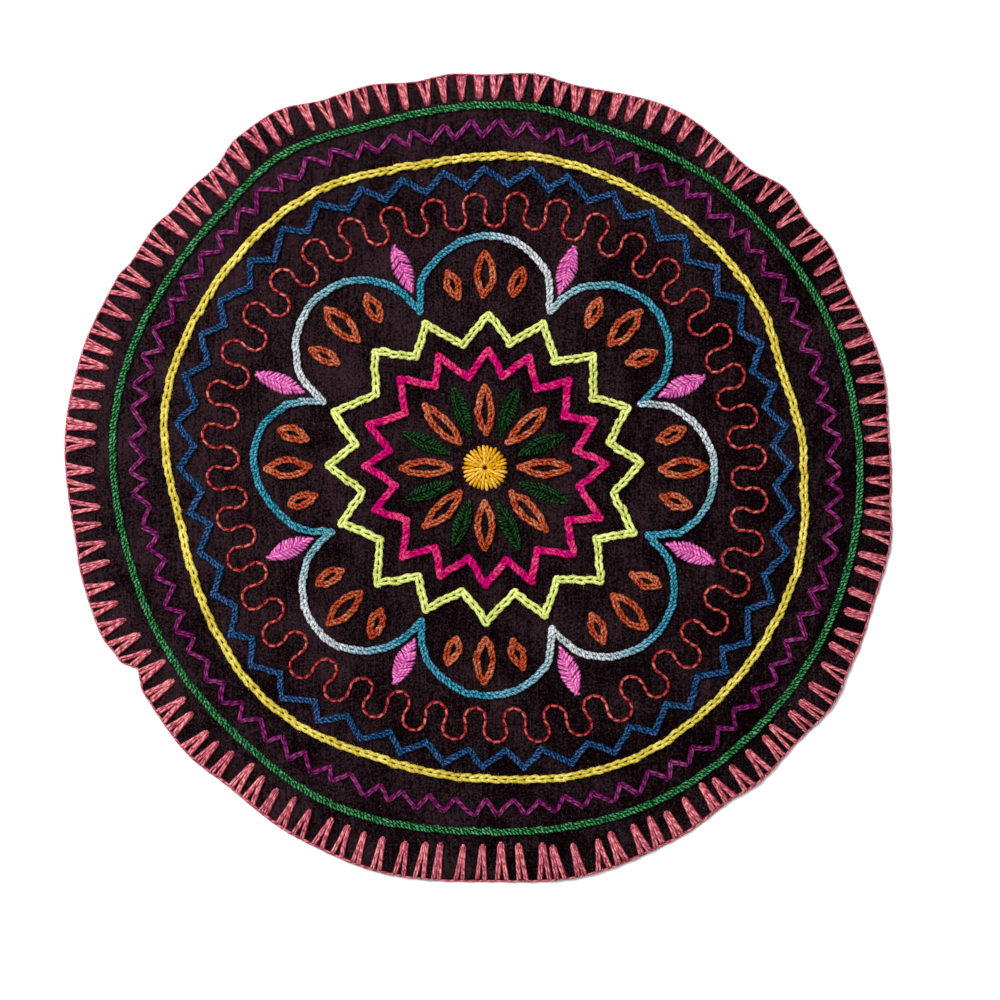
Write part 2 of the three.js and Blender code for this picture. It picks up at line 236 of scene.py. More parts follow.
def set_inputs(tree, node, inputs):
    for socket, value in inputs.items():
        if isinstance(value, bpy.types.NodeSocket):
            tree.links.new(value, node.inputs[socket])
        else:
            node.inputs[socket].default_value = value


def add_node(tree, kind, inputs=None, **settings):
    node = tree.nodes.new(kind)
    for name, value in settings.items():
        setattr(node, name, value)
    set_inputs(tree, node, inputs or {})
    return node


def wired(tree, kind, inputs=None, output=0, **settings):
    """One output of a new node."""
    return add_node(tree, kind, inputs, **settings).outputs[output]


def math_node(tree, operation, first, second=0.0):
    return wired(tree, "ShaderNodeMath", {0: first, 1: second}, operation=operation)


def scaled(tree, value, factor, offset):
    return math_node(tree, "ADD", math_node(tree, "MULTIPLY", value, factor), offset)


def vector_of(tree, x, y=0.0, z=0.0):
    return wired(tree, "ShaderNodeCombineXYZ", {"X": x, "Y": y, "Z": z})


def vector_math(tree, operation, first, second=(0, 0, 0), output=0):
    inputs = {0: first, 1: second}
    return wired(tree, "ShaderNodeVectorMath", inputs, output, operation=operation)


def noise(tree, place, scale, detail=3.0):
    inputs = {"Vector": place, "Scale": scale, "Detail": detail}
    return wired(tree, "ShaderNodeTexNoise", inputs, "Fac")


def mixed(tree, factor, first, second):
    inputs = {"Factor": factor, COLOUR_A: first, COLOUR_B: second}
    return wired(tree, "ShaderNodeMix", inputs, COLOUR_RESULT, data_type="RGBA")


def colour_ramp(tree, factor, stops):
    node = add_node(tree, "ShaderNodeValToRGB", {"Fac": factor})
    elements = node.color_ramp.elements
    while len(elements) < len(stops):
        elements.new(1.0)
    for element, (position, colour) in zip(elements, stops):
        element.position = position
        element.color = colour
    return node.outputs["Color"]


def bump(tree, height, strength, distance):
    inputs = {"Height": height, "Strength": strength, "Distance": distance}
    return wired(tree, "ShaderNodeBump", inputs)


def new_material(name):
    material = bpy.data.materials.new(name)
    material.use_nodes = True
    return material, material.node_tree, material.node_tree.nodes["Principled BSDF"]


print("materials so far:", len(bpy.data.materials))

# %% [markdown]
# ## Finishes: cotton
# The ground is plain-woven cotton, black with a breath of aubergine, and dull. Its threads differ
# along the warp, its dye is cloudy, pale lint clings to it, and painted light makes it lighter
# towards the upper left, where the lamp stands. A picture of cloth would blur close up, so two sine
# waves make the weave, noises make streaks, grain and clouds, and their sum picks a colour on a
# ramp. All of it reads Object coordinates, so it stays put whatever the camera does.

# %% Weave the black cotton
BLACK, WHITE = (0, 0, 0, 1), (1, 1, 1, 1)
THREAD_PITCH = 0.5 * MM
WEAVE_WEIGHT = 0.04
Pattern = namedtuple("Pattern", "scale detail weight")
STREAKS = Pattern(1100.0, 3.0, 0.20)
GRAIN = Pattern(1000.0, 4.0, 0.50)
CLOUDS = Pattern(34.0, 4.0, 0.30)
WARP_STRETCH = (1.0, 0.08, 1.0)  # draws the streaks out along the warp
PAINTED_LIGHT_SIDE = (-0.16, 0.08, 0.0)  # painted light: the cloth is painted lighter towards the upper left, where the lamp stands
COTTON_RAMP = ((0.46, (0.0016, 0.0003, 0.0006, 1)), (0.61, (0.0270, 0.0132, 0.0175, 1)))
LINT = (0.06, 0.048, 0.052, 1)
LINT_NOISE = (760.0, 1.0)  # scale and detail
LINT_RAMP = ((0.72, BLACK), (0.80, WHITE))  # only the peaks of the noise become specks
STREAK_RELIEF = 1.5  # how high the streaks stand, to 1 for the weave
THREAD_BUMP = (0.35, 0.12 * MM)  # strength and distance
COTTON_SURFACE = {
    "Roughness": 0.95,
    "Specular IOR Level": 0.02,
    "Sheen Weight": 0.01,
    "Sheen Roughness": 0.6,
    "Sheen Tint": (0.8, 0.55, 0.58, 1),
}


def cotton_material():
    material, tree, shader = new_material("black_cotton")
    place = wired(tree, "ShaderNodeTexCoord", output="Object")
    spot = add_node(tree, "ShaderNodeSeparateXYZ", {0: place}).outputs
    waves = []
    for axis in ("X", "Y"):
        phase = math_node(tree, "MULTIPLY", spot[axis], math.pi / THREAD_PITCH)
        waves.append(math_node(tree, "SINE", phase))
    weave = math_node(tree, "MULTIPLY", *waves)
    warp = wired(tree, "ShaderNodeMapping", {"Vector": place, "Scale": WARP_STRETCH})
    streaks = noise(tree, warp, STREAKS.scale, STREAKS.detail)
    grain = noise(tree, place, GRAIN.scale, GRAIN.detail)
    clouds = noise(tree, place, CLOUDS.scale, CLOUDS.detail)
    shade = math_node(tree, "MULTIPLY", weave, WEAVE_WEIGHT)
    for pattern, kind in ((streaks, STREAKS), (grain, GRAIN), (clouds, CLOUDS)):
        shade = math_node(tree, "ADD", shade, math_node(tree, "MULTIPLY", pattern, kind.weight))
    # painted light: lighter towards the lamp at the upper left
    painted_light = vector_math(tree, "DOT_PRODUCT", place, PAINTED_LIGHT_SIDE, "Value")
    ground = colour_ramp(tree, math_node(tree, "ADD", shade, painted_light), COTTON_RAMP)
    specks = colour_ramp(tree, noise(tree, place, *LINT_NOISE), LINT_RAMP)
    relief = math_node(tree, "ADD", weave, math_node(tree, "MULTIPLY", streaks, STREAK_RELIEF))
    colour = mixed(tree, specks, ground, LINT)
    set_inputs(tree, shader, {"Base Color": colour, "Normal": bump(tree, relief, *THREAD_BUMP)})
    set_inputs(tree, shader, COTTON_SURFACE)
    return material


COTTON = cotton_material()
print("finish:", COTTON.name)

# %% [markdown]
# ## Finishes: yarn
# Embroidery yarn is two plies twisted round each other. Painted shade darkens it between the plies
# and down its sides, it is streaked with fibres, and a painted highlight makes it pale along its
# crests. Thirteen materials built one by one would drift apart, so one function makes them all from
# a row of values each. The space-dyed yarn alone has a ramp of colours.

# %% List the yarns
# shade: how dark the painted shade is between a yarn's plies and down its sides. The value after
# it is the painted highlight, how pale its crests are painted. twist_mm: along the yarn from ply to
# ply. depth: how deep the twist is, in relief and in the painted shade. fuzz: loose fibres to a
# square millimetre.
Yarn = namedtuple("Yarn", "colour shade gleam roughness lustre twist_mm depth fuzz")
YARNS = {
    "pink_yarn": Yarn((0.412, 0.044, 0.073), 0.05, 0.62, 0.75, 0.03, 4.6, 0.45, 0.14),
    "green_yarn": Yarn((0.001, 0.086, 0.018), 0.10, 0.27, 0.60, 0.03, 1.9, 1.0, 0.04),
    "violet_yarn": Yarn((0.142, 0.0045, 0.082), 0.16, 0.14, 0.75, 0.01, 4.0, 0.7, 0.08),
    "yellow_yarn": Yarn((0.70, 0.56, 0.080), 0.28, 0.18, 0.85, 0.05, 2.6, 0.5, 0.45),
    "blue_yarn": Yarn((0.0025, 0.041, 0.128), 0.12, 0.16, 0.80, 0.01, 2.0, 0.9, 0.14),
    "variegated_yarn": Yarn((0.012, 0.20, 0.29), 0.13, 0.24, 0.60, 0.04, 1.9, 0.9, 0.08),
    "lime_yarn": Yarn((0.68, 0.75, 0.21), 0.28, 0.18, 0.85, 0.05, 2.6, 0.5, 0.45),
    "rose_yarn": Yarn((0.65, 0.006, 0.150), 0.12, 0.09, 0.85, 0.01, 2.2, 0.7, 0.45),
    "red_yarn": Yarn((0.41, 0.035, 0.033), 0.18, 0.30, 0.75, 0.02, 3.2, 0.7, 0.12),
    "gold_yarn": Yarn((0.84, 0.42, 0.016), 0.28, 0.12, 0.80, 0.03, 2.4, 0.6, 0.16),
    "orange_yarn": Yarn((0.41, 0.065, 0.016), 0.22, 0.22, 0.80, 0.02, 2.2, 0.8, 0.16),
    "dark_green_yarn": Yarn((0.002, 0.018, 0.003), 0.24, 0.06, 0.75, 0.01, 2.2, 0.8, 0.10),
    "bright_pink_yarn": Yarn((0.77, 0.145, 0.47), 0.20, 0.28, 0.75, 0.05, 2.6, 0.7, 0.16),
}
SPACE_DYED = "variegated_yarn"
DYE_REPEAT = 186 * MM  # the space-dyed yarn's colours come round again after this much sewing
DYE_STOPS = (
    (0.00, (0.012, 0.20, 0.29, 1)),
    (0.38, (0.015, 0.22, 0.33, 1)),
    (0.54, (0.24, 0.44, 0.49, 1)),
    (0.64, (0.64, 0.68, 0.68, 1)),
    (0.82, (0.66, 0.64, 0.67, 1)),
    (0.93, (0.17, 0.38, 0.46, 1)),
    (1.00, (0.012, 0.20, 0.29, 1)),
)
print("yarns:", len(YARNS), "of which space-dyed:", SPACE_DYED)

# %% [markdown]
# On every strand the piece's own UV map runs round the yarn in u, from its underside, and along it
# in v, in metres. So a wave in both together draws the twist and the painted shade between the
# plies, a wave in u alone paints shade down the sides, and a noise drawn out along v makes the
# fibres. Each stitch also carries a `tint` attribute, because no two stitches catch the light
# alike, and `run`, the distance sewn so far, moves the space-dyed colours along the line.

# %% Twist and dye the yarn
PLIES = 2
TWIST_SLACK = 4.0  # how unevenly the plies are twisted
SLACK_NOISE = (420.0, 1.0)  # scale and detail
SIDE_SHADE_NARROWNESS = 2.6  # how soon the painted shade darkens a strand from its crown down to its sides
STREAKS_AROUND = 7.0  # streaks of fibre round a yarn
STREAK_LENGTH = 2.2 * MM
STREAK_SHIFT = 50.0  # gives each stitch streaks of its own
FLUFF_CONTRAST = 2.0  # how much the streaks differ in brightness


def attribute(tree, name):
    return wired(tree, "ShaderNodeAttribute", output="Fac", attribute_name=name)


def recoloured(tree, colour, **changes):
    return wired(tree, "ShaderNodeHueSaturation", {"Color": colour} | changes)


def yarn_light(tree, yarn, uv, place, tint):
    """How light the yarn is painted: painted shade between its plies and down its sides, times its
    fibre streaks; and how high it stands.
    """
    around = math_node(tree, "MULTIPLY", uv["X"], math.pi)
    along = math_node(tree, "MULTIPLY", uv["Y"], math.pi / (yarn.twist_mm * MM))
    slack = math_node(tree, "MULTIPLY", noise(tree, place, *SLACK_NOISE), TWIST_SLACK)
    phase = math_node(tree, "ADD", scaled(tree, around, PLIES, along), slack)
    ply = math_node(tree, "ABSOLUTE", math_node(tree, "SINE", phase))
    side_shade = math_node(tree, "POWER", math_node(tree, "SINE", around), SIDE_SHADE_NARROWNESS)
    streak = vector_of(
        tree,
        math_node(tree, "MULTIPLY", uv["X"], STREAKS_AROUND),
        math_node(tree, "DIVIDE", uv["Y"], STREAK_LENGTH),
        math_node(tree, "MULTIPLY", tint, STREAK_SHIFT),
    )
    fluff = noise(tree, streak, 1.0)
    fibres = scaled(tree, fluff, FLUFF_CONTRAST, 1 - FLUFF_CONTRAST / 2)
    # painted shade: darker between the plies and down the sides, times the brightness of the fibre
    # streaks
    light = math_node(tree, "MULTIPLY", scaled(tree, ply, yarn.depth, 1 - yarn.depth), side_shade)
    return math_node(tree, "MULTIPLY", light, fibres), scaled(tree, ply, yarn.depth, fluff)


def dye(tree, name):
    if name == SPACE_DYED:
        repeats = math_node(tree, "DIVIDE", attribute(tree, "run"), DYE_REPEAT)
        return colour_ramp(tree, math_node(tree, "FRACT", repeats), DYE_STOPS)
    plain = wired(tree, "ShaderNodeRGB")
    plain.default_value = (*YARNS[name].colour, 1)
    return plain


print("plies:", PLIES, "streaks of fibre round a yarn:", STREAKS_AROUND)

# %% Spin the yarns
SHADE_SATURATION = 1.25
# how narrow the painted highlight along a crest is
HIGHLIGHT_SHARPNESS = 4.0
HIGHLIGHT_GREY, HIGHLIGHT_HUE = 0.3, 0.65  # the painted highlight's share of grey and of the yarn's own hue
MOTTLE_NOISE = (260.0, 2.0)  # scale and detail
HUE_DRIFT, SATURATION_DRIFT, VALUE_DRIFT = 0.012, 0.1, 0.35  # from one stitch to another
HUE_UNCHANGED = 0.5
TWIST_BUMP = (0.6, 0.4 * MM)  # strength and distance
SHEEN, SHEEN_ROUGHNESS = 0.03, 0.5
SHEEN_GREY, SHEEN_HUE = 0.4, 0.6


def yarn_material(name, yarn):
    material, tree, shader = new_material(name)
    coordinates = add_node(tree, "ShaderNodeTexCoord").outputs
    place = coordinates["Object"]
    uv = add_node(tree, "ShaderNodeSeparateXYZ", {0: coordinates["UV"]}).outputs
    tint = attribute(tree, "tint")
    light, relief = yarn_light(tree, yarn, uv, place, tint)
    base = dye(tree, name)
    # painted shade: the yarn's colour, darker and more saturated, where the painted light falls to
    # nought
    shade = recoloured(tree, base, Saturation=SHADE_SATURATION, Value=yarn.shade)
    # painted highlight: a pale colour along the crests, where the painted light is strongest
    bright = math_node(tree, "POWER", math_node(tree, "MINIMUM", light, 1.0), HIGHLIGHT_SHARPNESS)
    highlight_share = math_node(tree, "MULTIPLY", bright, yarn.gleam)
    pale = HIGHLIGHT_GREY + HIGHLIGHT_HUE * np.array(yarn.colour) / max(yarn.colour)
    colour = mixed(tree, highlight_share, mixed(tree, light, shade, base), (*pale, 1))
    mottle = math_node(tree, "ADD", tint, noise(tree, place, *MOTTLE_NOISE))
    colour = recoloured(
        tree,
        colour,
        Hue=scaled(tree, mottle, HUE_DRIFT, HUE_UNCHANGED - HUE_DRIFT),
        Saturation=scaled(tree, mottle, -SATURATION_DRIFT, 1 + SATURATION_DRIFT),
        Value=scaled(tree, mottle, VALUE_DRIFT, 1 - VALUE_DRIFT),
    )
    surface = {
        "Base Color": colour,
        "Normal": bump(tree, relief, *TWIST_BUMP),
        "Roughness": yarn.roughness,
        "Specular IOR Level": yarn.lustre,
        "Sheen Weight": SHEEN * max(yarn.colour),
        "Sheen Roughness": SHEEN_ROUGHNESS,
        "Sheen Tint": (*(SHEEN_GREY + SHEEN_HUE * np.array(yarn.colour)), 1),
    }
    set_inputs(tree, shader, surface)
    return material


YARN_FINISH = {name: yarn_material(name, yarn) for name, yarn in YARNS.items()}
print("finishes:", ", ".join(YARN_FINISH))

# %% [markdown]
# ## The cloth
# The ground of the rug is one disc of cotton. A square grid would be stepped at the round rim, so
# the sheet is a polar net of quads: rows run round the rug and columns run out from the centre of
# the rings, four columns to each pair of edge stitches, so that the rim can pucker with the
# stitches. A second layer below it and a wall round the cut edge close it into a real thin cloth.

# %% Lay the cloth
ROWS = 80
COLUMNS = 4 * EDGE_PAIRS
RIM_OUT = 0.25 * MM  # the cut edge reaches this far under the purl
RIM_SCALLOP = 0.15 * MM  # the stitches draw it in a little
RIM_FRAY = 0.20 * MM  # and the scissors leave it ragged
hand = np.random.default_rng(21)  # one seeded source for all that a hand does unevenly


def new_mesh(name, points, faces):
    mesh = bpy.data.meshes.new(name)
    mesh.from_pydata(np.asarray(points).tolist(), [], faces)
    return mesh


def add_object(name, data):
    piece = bpy.data.objects.new(name, data)
    bpy.context.scene.collection.objects.link(piece)
    return piece


def lay_cloth():
    turns = TURN * np.arange(COLUMNS) / COLUMNS
    shares = np.arange(1, ROWS + 1) / ROWS
    reach = rim_at(turns) + RIM_OUT + RIM_SCALLOP * np.cos(EDGE_PAIRS * turns)
    reach += RIM_FRAY * hand.uniform(-1, 1, COLUMNS)
    x = CENTRE[0] + np.outer(shares, reach * np.cos(turns))
    y = CENTRE[1] + np.outer(shares, reach * np.sin(turns))
    top = on_cloth(np.vstack([CENTRE, np.column_stack([x.ravel(), y.ravel()])]))
    below = len(top)

    def corner(row, column):
        return 1 + row * COLUMNS + column % COLUMNS

    faces = []
    for column in range(COLUMNS):
        here, beside = corner(0, column), corner(0, column + 1)
        faces.append((0, here, beside))
        faces.append((below, below + beside, below + here))
        for row in range(ROWS - 1):
            a, b = corner(row, column), corner(row + 1, column)
            c, d = corner(row + 1, column + 1), corner(row, column + 1)
            faces.append((a, b, c, d))
            faces.append((below + a, below + d, below + c, below + b))
        rim, next_rim = corner(ROWS - 1, column), corner(ROWS - 1, column + 1)
        faces.append((rim, below + rim, below + next_rim, next_rim))
    mesh = new_mesh("cloth_sheet", np.vstack([top, top - (0, 0, SHEET_THICKNESS)]), faces)
    mesh.shade_smooth()
    mesh.materials.append(COTTON)
    area = float(np.sum(reach**2) * TURN / COLUMNS / 2)
    return add_object("cloth_sheet", mesh), area


cloth, cloth_area = lay_cloth()
print("cloth:", len(cloth.data.polygons), "faces,", round(cloth_area, 4), "square metres")

# %% [markdown]
# ## Chain stitch
# A chain stitch is a row of loops. Each loop of yarn comes up inside the round end of the loop
# before, lies over it, widens, and is held down by the next one. A flat ribbon with a picture of
# loops would look dead from the side, so one link is modelled with its rise and fall, in a few
# dozen faces, to be copied.

# %% Make a tube of yarn along any line
YARN_SIDES = 6


def run_along(points):
    """The distance from a line's first point to each of its points."""
    return np.concatenate([[0], np.cumsum(np.linalg.norm(np.diff(points, axis=0), axis=1))])


def set_uv(mesh, uvs):
    layer = mesh.uv_layers.new(name="UVMap")
    layer.data.foreach_set("uv", np.array(uvs, dtype=np.float32).ravel())


def tube_mesh(name, centres, width, height):
    """A closed tube along a line of points, with u round it and v along it in metres."""
    centres = np.asarray(centres)
    along = np.gradient(centres, axis=0)
    along /= np.linalg.norm(along, axis=1)[:, None]
    side = np.cross(along, (0, 0, 1))
    side /= np.linalg.norm(side, axis=1)[:, None]
    up = np.cross(side, along)
    angles = TURN * np.arange(YARN_SIDES) / YARN_SIDES - TURN / 4
    rings = (
        centres[:, None]
        + side[:, None] * (np.cos(angles) * width / 2)[None, :, None]
        + up[:, None] * (np.sin(angles) * height / 2)[None, :, None]
    )
    run = run_along(centres)
    faces, uvs = [], []
    for station in range(len(centres) - 1):
        for edge in range(YARN_SIDES):
            a, b = station * YARN_SIDES + edge, station * YARN_SIDES + (edge + 1) % YARN_SIDES
            faces.append((a, a + YARN_SIDES, b + YARN_SIDES, b))
            left, right = edge / YARN_SIDES, (edge + 1) / YARN_SIDES
            uvs += [(left, run[station]), (left, run[station + 1])]
            uvs += [(right, run[station + 1]), (right, run[station])]
    last = (len(centres) - 1) * YARN_SIDES
    faces.append(tuple(range(YARN_SIDES)))
    faces.append(tuple(last + edge for edge in reversed(range(YARN_SIDES))))
    uvs += [(0.0, 0.0)] * YARN_SIDES + [(0.0, run[-1])] * YARN_SIDES
    mesh = new_mesh(name, rings.reshape(-1, 3), faces)
    set_uv(mesh, uvs)
    return mesh


print("sides of a yarn:", YARN_SIDES)

# %% Bend one link of chain
LinkRow = namedtuple("LinkRow", "along across up")
HALF_LINK = (
    LinkRow(0.00, 0.15, -0.05),  # up through the cloth, inside the link before
    LinkRow(0.10, 0.42, 0.45),
    LinkRow(0.28, 0.66, 0.86),  # over the end of the link before
    LinkRow(0.58, 0.78, 0.76),
    LinkRow(0.92, 1.00, 0.52),
    LinkRow(1.20, 0.76, 0.40),
    LinkRow(1.33, 0.00, 0.36),  # the round end, under the next link
)
YARN_FLATNESS = 0.88  # a strand that lies on cloth is wider than it is high


def chain_link(pitch, width, yarn):
    half_gap = (width - yarn) / 2
    near = [(row.along * pitch, row.across * half_gap, row.up * yarn) for row in HALF_LINK]
    far = [(along, -across, up) for along, across, up in reversed(near[:-1])]
    return add_object("link", tube_mesh("link", near + far, yarn, yarn * YARN_FLATNESS))


print("one link has", (2 * len(HALF_LINK) - 2) * YARN_SIDES + 2, "faces")

# %% [markdown]
# The links could be copied in a loop of the script, but Geometry Nodes do it faster and show each
# rule as a node. The tree takes a cloud of needle holes. Each hole knows the way to the next one by
# its `toward` attribute: a link is turned to face that way and stretched to that length. A seeded
# random value tips and fattens each link a little, and another one is stored as its tint.

# %% Helpers that build trees of geometry
VECTOR_LOW, VECTOR_HIGH, VECTOR_RESULT = 0, 1, 0  # a random value node's sockets for vectors
NUMBER_LOW, NUMBER_HIGH, NUMBER_RESULT = 2, 3, 1  # and for numbers


def new_tree(name, own_inputs):
    """A tree with its own inputs and the ones that all trees here have, and their sockets."""
    tree = bpy.data.node_groups.new(name, "GeometryNodeTree")
    inputs = {"Geometry": "Geometry"} | own_inputs | {"Seed": "Int", "Material": "Material"}
    for label, kind in inputs.items():
        tree.interface.new_socket(label, in_out="INPUT", socket_type="NodeSocket" + kind)
    tree.interface.new_socket("Geometry", in_out="OUTPUT", socket_type="NodeSocketGeometry")
    return tree, tree.nodes.new("NodeGroupInput").outputs


def finish_tree(tree, geometry, material):
    realized = wired(tree, "GeometryNodeRealizeInstances", {"Geometry": geometry})
    smooth = wired(tree, "GeometryNodeSetShadeSmooth", {"Geometry": realized})
    finished = wired(tree, "GeometryNodeSetMaterial", {"Geometry": smooth, "Material": material})
    add_node(tree, "NodeGroupOutput", {"Geometry": finished})
    print("tree:", tree.name, "with", len(tree.nodes), "nodes")
    return tree


def stored(tree, geometry, name, value, data_type="FLOAT", domain="POINT"):
    inputs = {"Geometry": geometry, "Name": name, "Value": value}
    kind = "GeometryNodeStoreNamedAttribute"
    return wired(tree, kind, inputs, data_type=data_type, domain=domain)


def random_vector(tree, seed, low, high):
    inputs = {VECTOR_LOW: low, VECTOR_HIGH: high, "Seed": seed}
    return wired(tree, "FunctionNodeRandomValue", inputs, VECTOR_RESULT, data_type="FLOAT_VECTOR")


def random_number(tree, seed, low=0.0, high=1.0):
    inputs = {NUMBER_LOW: low, NUMBER_HIGH: high, "Seed": seed}
    return wired(tree, "FunctionNodeRandomValue", inputs, NUMBER_RESULT, data_type="FLOAT")


def tipped(tree, rotation, angles):
    turn = wired(tree, "FunctionNodeEulerToRotation", {0: angles})
    inputs = {"Rotation": rotation, "Rotate By": turn}
    return wired(tree, "FunctionNodeRotateRotation", inputs, rotation_space="LOCAL")


def copied(tree, shape, points, rotation, scale):
    geometry = wired(tree, "GeometryNodeObjectInfo", {"Object": shape}, "Geometry")
    inputs = {"Points": points, "Instance": geometry, "Rotation": rotation, "Scale": scale}
    return wired(tree, "GeometryNodeInstanceOnPoints", inputs)


print("trees so far:", len(bpy.data.node_groups))

# %% Build the chain stitch tree
LINK_TIP = (2.0, 0.5, 1.2)  # how far a link rolls, pitches and turns, to 1 for how far it swells


def chain_tree():
    own = {"Link": "Object", "Pitch": "Float", "Unevenness": "Float"}
    tree, given = new_tree("chain_stitch", own)
    seed = given["Seed"]
    named = {"Name": "toward"}
    toward = wired(tree, "GeometryNodeInputNamedAttribute", named, data_type="FLOAT_VECTOR")
    length = vector_math(tree, "LENGTH", toward, output="Value")
    stretch = math_node(tree, "DIVIDE", length, given["Pitch"])
    axes = {"Primary Axis": toward, "Secondary Axis": (0, 0, 1)}
    aim = wired(tree, "FunctionNodeAxesToRotation", axes, primary_axis="X", secondary_axis="Z")
    wobble = random_vector(tree, seed, (-1, -1, -1), (1, 1, 1))
    amount = {0: wobble, "Scale": given["Unevenness"]}
    wobble = wired(tree, "ShaderNodeVectorMath", amount, operation="SCALE")
    turned = tipped(tree, aim, vector_math(tree, "MULTIPLY", wobble, LINK_TIP))
    bulk = vector_math(tree, "ADD", vector_of(tree, stretch, 1.0, 1.0), wobble)
    holes = stored(tree, given["Geometry"], "tint", random_number(tree, seed))
    return finish_tree(tree, copied(tree, given["Link"], holes, turned, bulk), given["Material"])


CHAIN_TREE = chain_tree()

# %% [markdown]
# ## Fuzz
# Yarn sheds: on every strand a few fibres have come loose, stand up and bend over, and they soften
# its outline. Hair particles would be lost in the export. So a second tree scatters one small
# modelled fibre over the upper side of the yarn, leaning and of a length at random, and joins it to
# the stitches.

# %% Build the fuzz tree
FIBRE = ((0.0, 0.0, -0.05), (0.6, 0.0, 0.34), (2.0, 0.4, 0.30))  # foot, bend and tip in millimetres
FIBRE_RADIUS = 0.04 * MM
FIBRE_SIDES = 3
FIBRE_LEAN = 0.5  # radians that a fibre may lean either way
FIBRE_LENGTHS = (0.4, 1.6)  # from the shortest to the longest, to 1 for the modelled one
FIBRE_TINT = 0.6
FUZZ_UPWARD = 0.0  # fibres stand only where the yarn faces up at least this much
FUZZ_FLOOR = 0.2 * MM  # no fibre hangs lower than this
FAR_OUTSIDE = -1.0  # in metres, well past the rug's edge


def fibre_object():
    foot, bend, tip = np.array(FIBRE) * MM
    turns = np.arange(FIBRE_SIDES) * TURN / FIBRE_SIDES
    corners = FIBRE_RADIUS * np.column_stack([np.cos(turns), np.sin(turns), 0 * turns])
    faces = [tuple(reversed(range(FIBRE_SIDES)))]
    for edge in range(FIBRE_SIDES):
        beside = (edge + 1) % FIBRE_SIDES
        faces.append((edge, beside, beside + FIBRE_SIDES, edge + FIBRE_SIDES))
        faces.append((edge + FIBRE_SIDES, beside + FIBRE_SIDES, 2 * FIBRE_SIDES))
    mesh = new_mesh("fibre", np.vstack([foot + corners, bend + corners, tip]), faces)
    # u at the crown, so that the painted shade down a yarn's sides never darkens a fibre
    set_uv(mesh, [(0.5, 0.0)] * len(mesh.loops))
    return add_object("fibre", mesh)


def fuzz_tree():
    tree, given = new_tree("fuzz", {"Fibre": "Object", "Density": "Float"})
    yarn, seed = given["Geometry"], given["Seed"]
    normal = wired(tree, "GeometryNodeInputNormal")
    upward = wired(tree, "ShaderNodeSeparateXYZ", {0: normal}, "Z")
    free = math_node(tree, "GREATER_THAN", upward, FUZZ_UPWARD)
    where = {"Mesh": yarn, "Selection": free, "Density": given["Density"], "Seed": seed}
    scattered = add_node(tree, "GeometryNodeDistributePointsOnFaces", where).outputs
    spots = stored(tree, scattered["Points"], "tint", FIBRE_TINT)
    lean = random_vector(tree, seed, (-FIBRE_LEAN, -FIBRE_LEAN, 0), (FIBRE_LEAN, FIBRE_LEAN, TURN))
    turned = tipped(tree, scattered["Rotation"], lean)
    size = vector_of(tree, random_number(tree, seed, *FIBRE_LENGTHS), 1.0, 1.0)
    fibres = copied(tree, given["Fibre"], spots, turned, size)
    fibres = wired(tree, "GeometryNodeRealizeInstances", {"Geometry": fibres})
    place = wired(tree, "GeometryNodeInputPosition")
    raised = vector_math(tree, "MAXIMUM", place, (FAR_OUTSIDE, FAR_OUTSIDE, FUZZ_FLOOR))
    fibres = wired(tree, "GeometryNodeSetPosition", {"Geometry": fibres, "Position": raised})
    both = add_node(tree, "GeometryNodeJoinGeometry")
    for geometry in (fibres, yarn):
        tree.links.new(geometry, both.inputs[0])
    return finish_tree(tree, both.outputs[0], given["Material"])


FUZZ_TREE = fuzz_tree()

# %% [markdown]
# A tree is only a recipe. It is put on a source object as a modifier, its inputs are set by their
# identifiers, and the evaluated result is kept as a plain mesh, because the export knows nothing of
# trees. Every piece of sewing takes this way twice: once for its stitches and once for the fuzz on
# them.

# %% Turn trees into sewn pieces
Sewn = namedtuple("Sewn", "piece slot nodes")
sewn_pieces = []


def grown(piece_name, source, tree, settings):
    """The plain mesh that a tree makes of a source object, which is then thrown away."""
    modifier = source.modifiers.new(tree.name, "NODES")
    modifier.node_group = tree
    for socket in tree.interface.items_tree:
        if socket.in_out == "INPUT" and socket.name in settings:
            modifier[socket.identifier] = settings[socket.name]
    graph = bpy.context.evaluated_depsgraph_get()
    mesh = bpy.data.meshes.new_from_object(source.evaluated_get(graph), depsgraph=graph)
    mesh.name = piece_name
    bpy.data.objects.remove(source)
    return add_object(piece_name, mesh)


def sew(piece_name, nodes, source, tree, slot, seed, settings):
    """Stitches with fuzz on them, noted with the solids that they stand for."""
    always = {"Seed": seed, "Material": YARN_FINISH[slot]}
    smooth = grown("smooth_" + piece_name, source, tree, settings | always)
    fibre = fibre_object()
    fuzz = {"Fibre": fibre, "Density": YARNS[slot].fuzz / MM**2}
    piece = grown(piece_name, smooth, FUZZ_TREE, fuzz | always)
    bpy.data.objects.remove(fibre)
    sewn_pieces.append(Sewn(piece, slot, nodes))
    print(piece_name, "stands for", len(nodes), "solids and has", len(piece.data.polygons), "faces")


print("pieces sewn so far:", len(sewn_pieces))

# %% [markdown]
# ## Needle holes
# Every stitch starts and ends in a needle hole. Holes at an even pitch alone would cut a zigzag's
# corners off, so a sharp corner always gets a hole of its own, as a sewer turns there. Between
# corners the line is rounded through its points, and the seeded hand moves each hole a fraction of
# a millimetre.

# %% Prick the needle holes along a line
CORNER_TURN = math.radians(40)
ROUNDING_STEPS = 8
HAND_SLIP = 0.16 * MM  # how far a hole may miss its place


def corner_flags(line):
    before = line - np.roll(line, 1, axis=0)
    after = np.roll(line, -1, axis=0) - line
    turn = np.arctan2(
        before[:, 0] * after[:, 1] - before[:, 1] * after[:, 0], np.sum(before * after, axis=1)
    )
    return np.abs(turn) > CORNER_TURN


